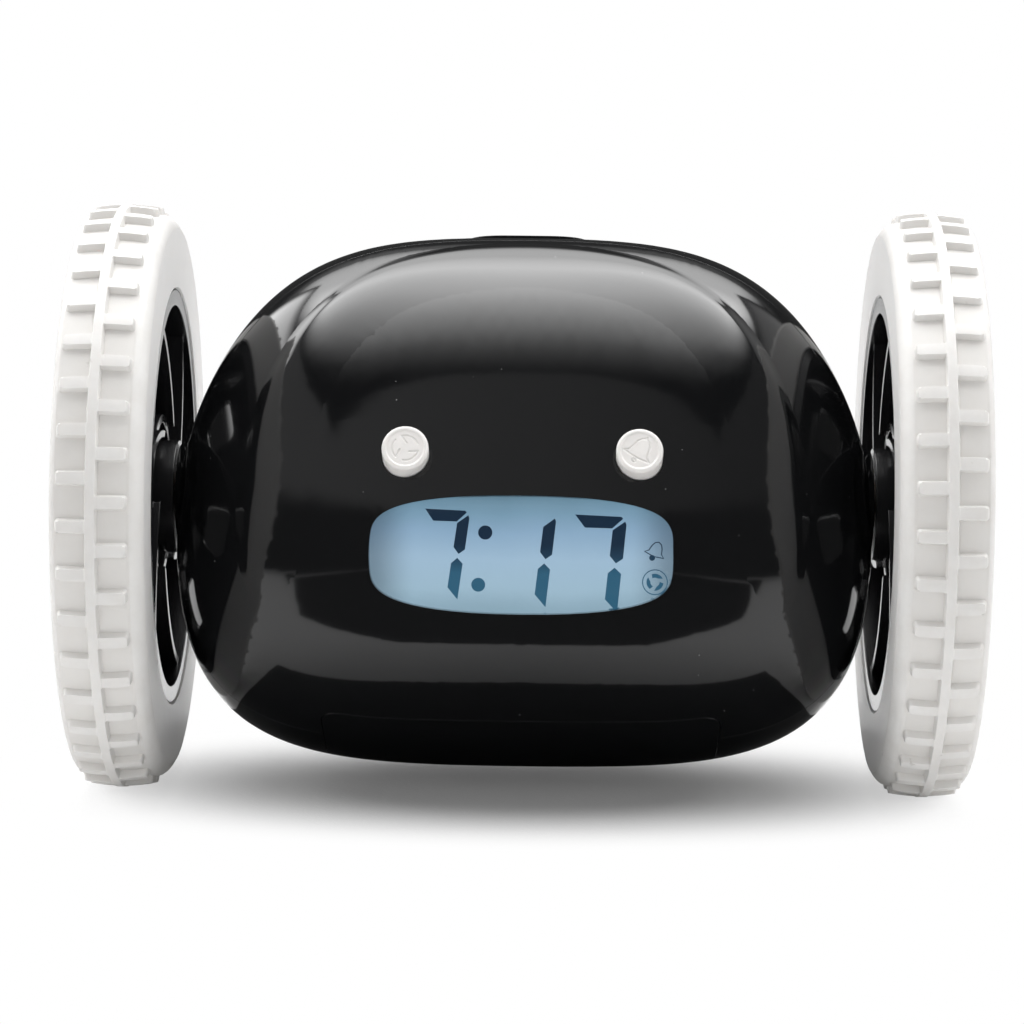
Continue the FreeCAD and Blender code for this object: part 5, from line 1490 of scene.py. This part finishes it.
@dataclass(frozen=True)
class SoftBox:
    """What polished surfaces see of the lamps: a cloth panel, brightest in its middle.

    The panel's own frame has u along its width and v along its depth. Rows give
    (v, level) pairs and bow back towards the sides; over the last stretch of u the
    level fades to nothing.
    """

    name: str
    centre: tuple[float, float, float]
    u_way: tuple[float, float, float]
    v_way: tuple[float, float, float]
    half_width: float
    rows: tuple[Point, ...]
    fade: float = 0.3
    bow: float = 0.0
    steps: int = 28

    def level(self, u: float, v: float) -> float:
        """Brightness at a point of the panel.

        Args:
            u: Distance from its middle along its width.
            v: Distance from its middle along its depth.

        Returns:
            The level, where 1 is white.
        """
        lit = self.rows[-1][1]
        v -= self.bow * u * u
        for (low, first), (high, second) in zip(self.rows, self.rows[1:]):
            if v <= high:
                lit = first + (second - first) * max(0.0, (v - low) / (high - low))
                break
        return lit * (1 - smooth_step(abs(u), self.half_width * (1 - self.fade), self.half_width))

    def build(self) -> bpy.types.Object:
        """Makes the panel, for mirror rays only.

        Returns:
            The panel.
        """
        u_way, v_way = Vector(self.u_way).normalized(), Vector(self.v_way).normalized()
        places = [((i / self.steps * 2 - 1) * self.half_width,
                   self.rows[0][0] + (self.rows[-1][0] - self.rows[0][0]) * j / self.steps)
                  for j in range(self.steps + 1) for i in range(self.steps + 1)]
        points = [Vector(self.centre) + u_way * u + v_way * v for u, v in places]
        faces = grid_faces(self.steps + 1, self.steps + 1)
        panel = new_piece(self.name, points, faces, Glow("softbox_cloth"))
        mark(panel, "glow", [self.level(u, v) for u, v in places])
        return for_mirrors_only(panel)


def for_mirrors_only(piece: bpy.types.Object) -> bpy.types.Object:
    """Marks a studio piece that only polished surfaces may see.

    Args:
        piece: The piece.

    Returns:
        The same piece.
    """
    piece.visible_camera = False
    piece.visible_diffuse = False
    piece.visible_transmission = False
    piece.visible_shadow = False
    return piece


@dataclass(frozen=True)
class DarkCards:
    """Dark cards on the floor, before and under the clock, which keep the lower face black; the
    card under the clock is painted shade, where the floor beneath the body lies in shadow.

    Each card lies between a line of (x, y) points and its other end on Y.
    """

    front: tuple[Point, ...] = ((-0.9, -0.70), (-0.13, -0.118), (-0.085, -0.084),
                                (-0.042, -0.0655), (-0.025, -0.0575), (0.0, -0.0555),
                                (0.025, -0.0575), (0.042, -0.068), (0.09, -0.090),
                                (0.18, -0.155), (0.9, -0.70))
    front_end: float = -2.4
    # The card under the body is painted shade, seen by mirrors only.
    under: tuple[Point, ...] = ((-0.052, 0.040), (-0.046, 0.042), (0.046, 0.042), (0.052, 0.040))
    under_end: float = -0.0345
    height: float = 0.5 * MM

    def build(self) -> bpy.types.Object:
        """Makes both cards, for mirror rays only.

        Returns:
            The piece.
        """
        points: list[Vector] = []
        faces: list[tuple[int, ...]] = []
        for edge, end in ((self.front, self.front_end), (self.under, self.under_end)):
            start, count = len(points), len(edge)
            points += [Vector((x, y, self.height)) for x, y in edge]
            points += [Vector((x, end, self.height)) for x, _ in edge]
            faces += [(start + i + count, start + i + 1 + count, start + i + 1, start + i)
                      for i in range(count - 1)]
        finish = SatinMoulding("card_black", (0.01,) * 3, 0.6)
        return for_mirrors_only(new_piece("dark_cards", points, faces, finish))


@dataclass(frozen=True)
class Studio:
    """Floor, lights, surroundings and camera."""

    axle: tuple[float, float, float] = (0.0, 0.0, 44.45 * MM)
    lens: float = 122.34
    distance: float = 532 * MM
    elevation: float = 8.2
    azimuth: float = 0.7
    roll: float = 0.6
    shift: Point = (-13 / 1024, -12 / 1024)
    clip: Point = (0.01, 20.0)
    floor_rows: int = 41
    floor_reach: float = 2.4
    ambient: float = 0.48
    room_edge: Point = (0.42, 0.52)
    room_level: float = 0.27
    room_slope: float = 0.2
    room_dark: float = 0.05
    lamps: tuple[Lamp, ...] = (
        Lamp("top_lamp", (0.0, 0.05, 0.75), (0.0, 0.0, 0.05), (0.8, 0.6), 3.4),
        Lamp("front_lamp", (-0.1, -1.1, 0.5), (0.0, 0.0, 0.04), (0.9, 0.5), 1.5),
        Lamp("left_lamp", (-0.62, 0.10, 0.45), (0.05, 0.0, 0.06), (0.6, 0.35), 2.6),
        Lamp("right_lamp", (0.62, 0.10, 0.45), (-0.05, 0.0, 0.06), (0.6, 0.35), 2.6),
    )
    boxes: tuple[SoftBox, ...] = (
        SoftBox("top_box", (0.0, 0.0, 0.75), (1, 0, 0), (0, 1, 0), 0.72,
                ((-0.44, 0.0), (-0.37, 0.5), (-0.31, 1.1), (-0.255, 2.3), (-0.19, 3.4),
                 (-0.07, 5.6), (0.0, 7.0), (0.2, 9.0), (0.4, 4.6), (0.75, 2.4), (0.95, 0.6)),
                0.3, 0.32),
        SoftBox("left_box", (-0.62, 0.30, 0.40), (0.45, 0.9, 0), (0, 0, 1), 0.34,
                ((-0.14, 0.0), (-0.10, 4.5), (0.0, 6.0), (0.22, 5.0), (0.3, 0.0)), 0.25),
        SoftBox("right_box", (0.62, 0.30, 0.45), (-0.45, 0.9, 0), (0, 0, 1), 0.30,
                ((-0.14, 0.0), (-0.10, 0.7), (0.0, 0.8), (0.2, 0.7), (0.28, 0.0)), 0.25),
    )

    def build_floor(self) -> bpy.types.Object:
        """Makes the large, level, pale floor.

        Returns:
            The floor.
        """
        rows, reach = self.floor_rows, self.floor_reach
        steps = [(i / (rows - 1) - 0.5) * 2 * reach for i in range(rows)]
        points = [Vector((x, y, 0.0)) for y in steps for x in steps]
        floor = new_piece("studio_floor", points, grid_faces(rows, rows),
                          StudioFloor("studio_floor"))
        return floor

    def build_world(self) -> None:
        """White to the eye and through glass; a dim room to mirrors; dim grey as a light."""
        world = bpy.data.worlds.new("surroundings")
        sheet = Sheet(world)
        way = sheet.add("ShaderNodeTexCoord", output="Generated")
        above = way.part("Z").step(*self.room_edge)
        room = above * (self.room_level - way.part("X") * self.room_slope) + self.room_dark
        eye, mirror, through = sheet.seen_by()
        seen = eye + through
        level = mirror * (room - self.ambient) + self.ambient
        strength = level + seen * (1 - level)
        back = sheet.add("ShaderNodeBackground", None,
                         {"Color": (1.0, 1.0, 1.0), "Strength": strength})
        sheet.add("ShaderNodeOutputWorld", None, {"Surface": back})
        bpy.context.scene.world = world

    def build_camera(self) -> bpy.types.Object:
        """Makes the camera of the main view.

        Returns:
            The camera.
        """
        azimuth, elevation = math.radians(self.azimuth), math.radians(self.elevation)
        back = Vector((math.sin(azimuth) * math.cos(elevation),
                       -math.cos(azimuth) * math.cos(elevation), math.sin(elevation)))
        right = (-back).cross(Vector((0, 0, 1))).normalized()
        upward = right.cross(-back)
        roll = math.radians(self.roll)
        leaned = right * math.cos(roll) + upward * math.sin(roll)
        head = upward * math.cos(roll) - right * math.sin(roll)
        data = bpy.data.cameras.new("main_camera")
        data.lens = self.lens
        data.shift_x, data.shift_y = self.shift
        data.clip_start, data.clip_end = self.clip
        camera = bpy.data.objects.new("main_camera", data)
        turn = Matrix((leaned, head, back)).transposed().to_4x4()
        turn.translation = Vector(self.axle) + back * self.distance
        camera.matrix_world = turn
        bpy.context.scene.collection.objects.link(camera)
        bpy.context.scene.camera = camera
        return camera


def dress_nodes() -> None:
    """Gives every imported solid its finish."""
    for name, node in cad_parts.items():
        plain = name
        for side in Side:
            plain = plain.removeprefix(f"{side.word}_")
        finish = NODE_FINISHES[plain]
        node.data.materials.clear()
        node.data.materials.append(finish.material())
        LOG.info("node %s: %s", name, finish.name)


def main() -> None:
    """Builds the studio, dresses the solids and adds the scene's own pieces."""
    logging.basicConfig(level=logging.INFO, format="%(name)s: %(message)s")
    bpy.context.scene.view_settings.view_transform = "Standard"
    studio = Studio()
    studio.build_camera()
    studio.build_world()
    stage = [lamp.build for lamp in studio.lamps] + [box.build for box in studio.boxes]
    for make in (*stage, studio.build_floor, DarkCards().build):
        LOG.info("stage %s", make().name)
    dress_nodes()
    makers: list[Callable[[], bpy.types.Object]] = [
        EyeCap("run_button", "run_button", -16.65 * MM, Glyph.RUN).build,
        EyeCap("alarm_button", "alarm_button", 16.65 * MM, Glyph.BELL).build,
        Display().figures,
        Display().signs,
        FaceBorder().build,
    ]
    for make in makers:
        LOG.info("piece %s", make().name)
    for side in Side:
        LOG.info("piece %s", Tyre().build(side).name)
        LOG.info("piece %s", AxleBoss().build(side).name)


if __name__ == "__main__":
    main()
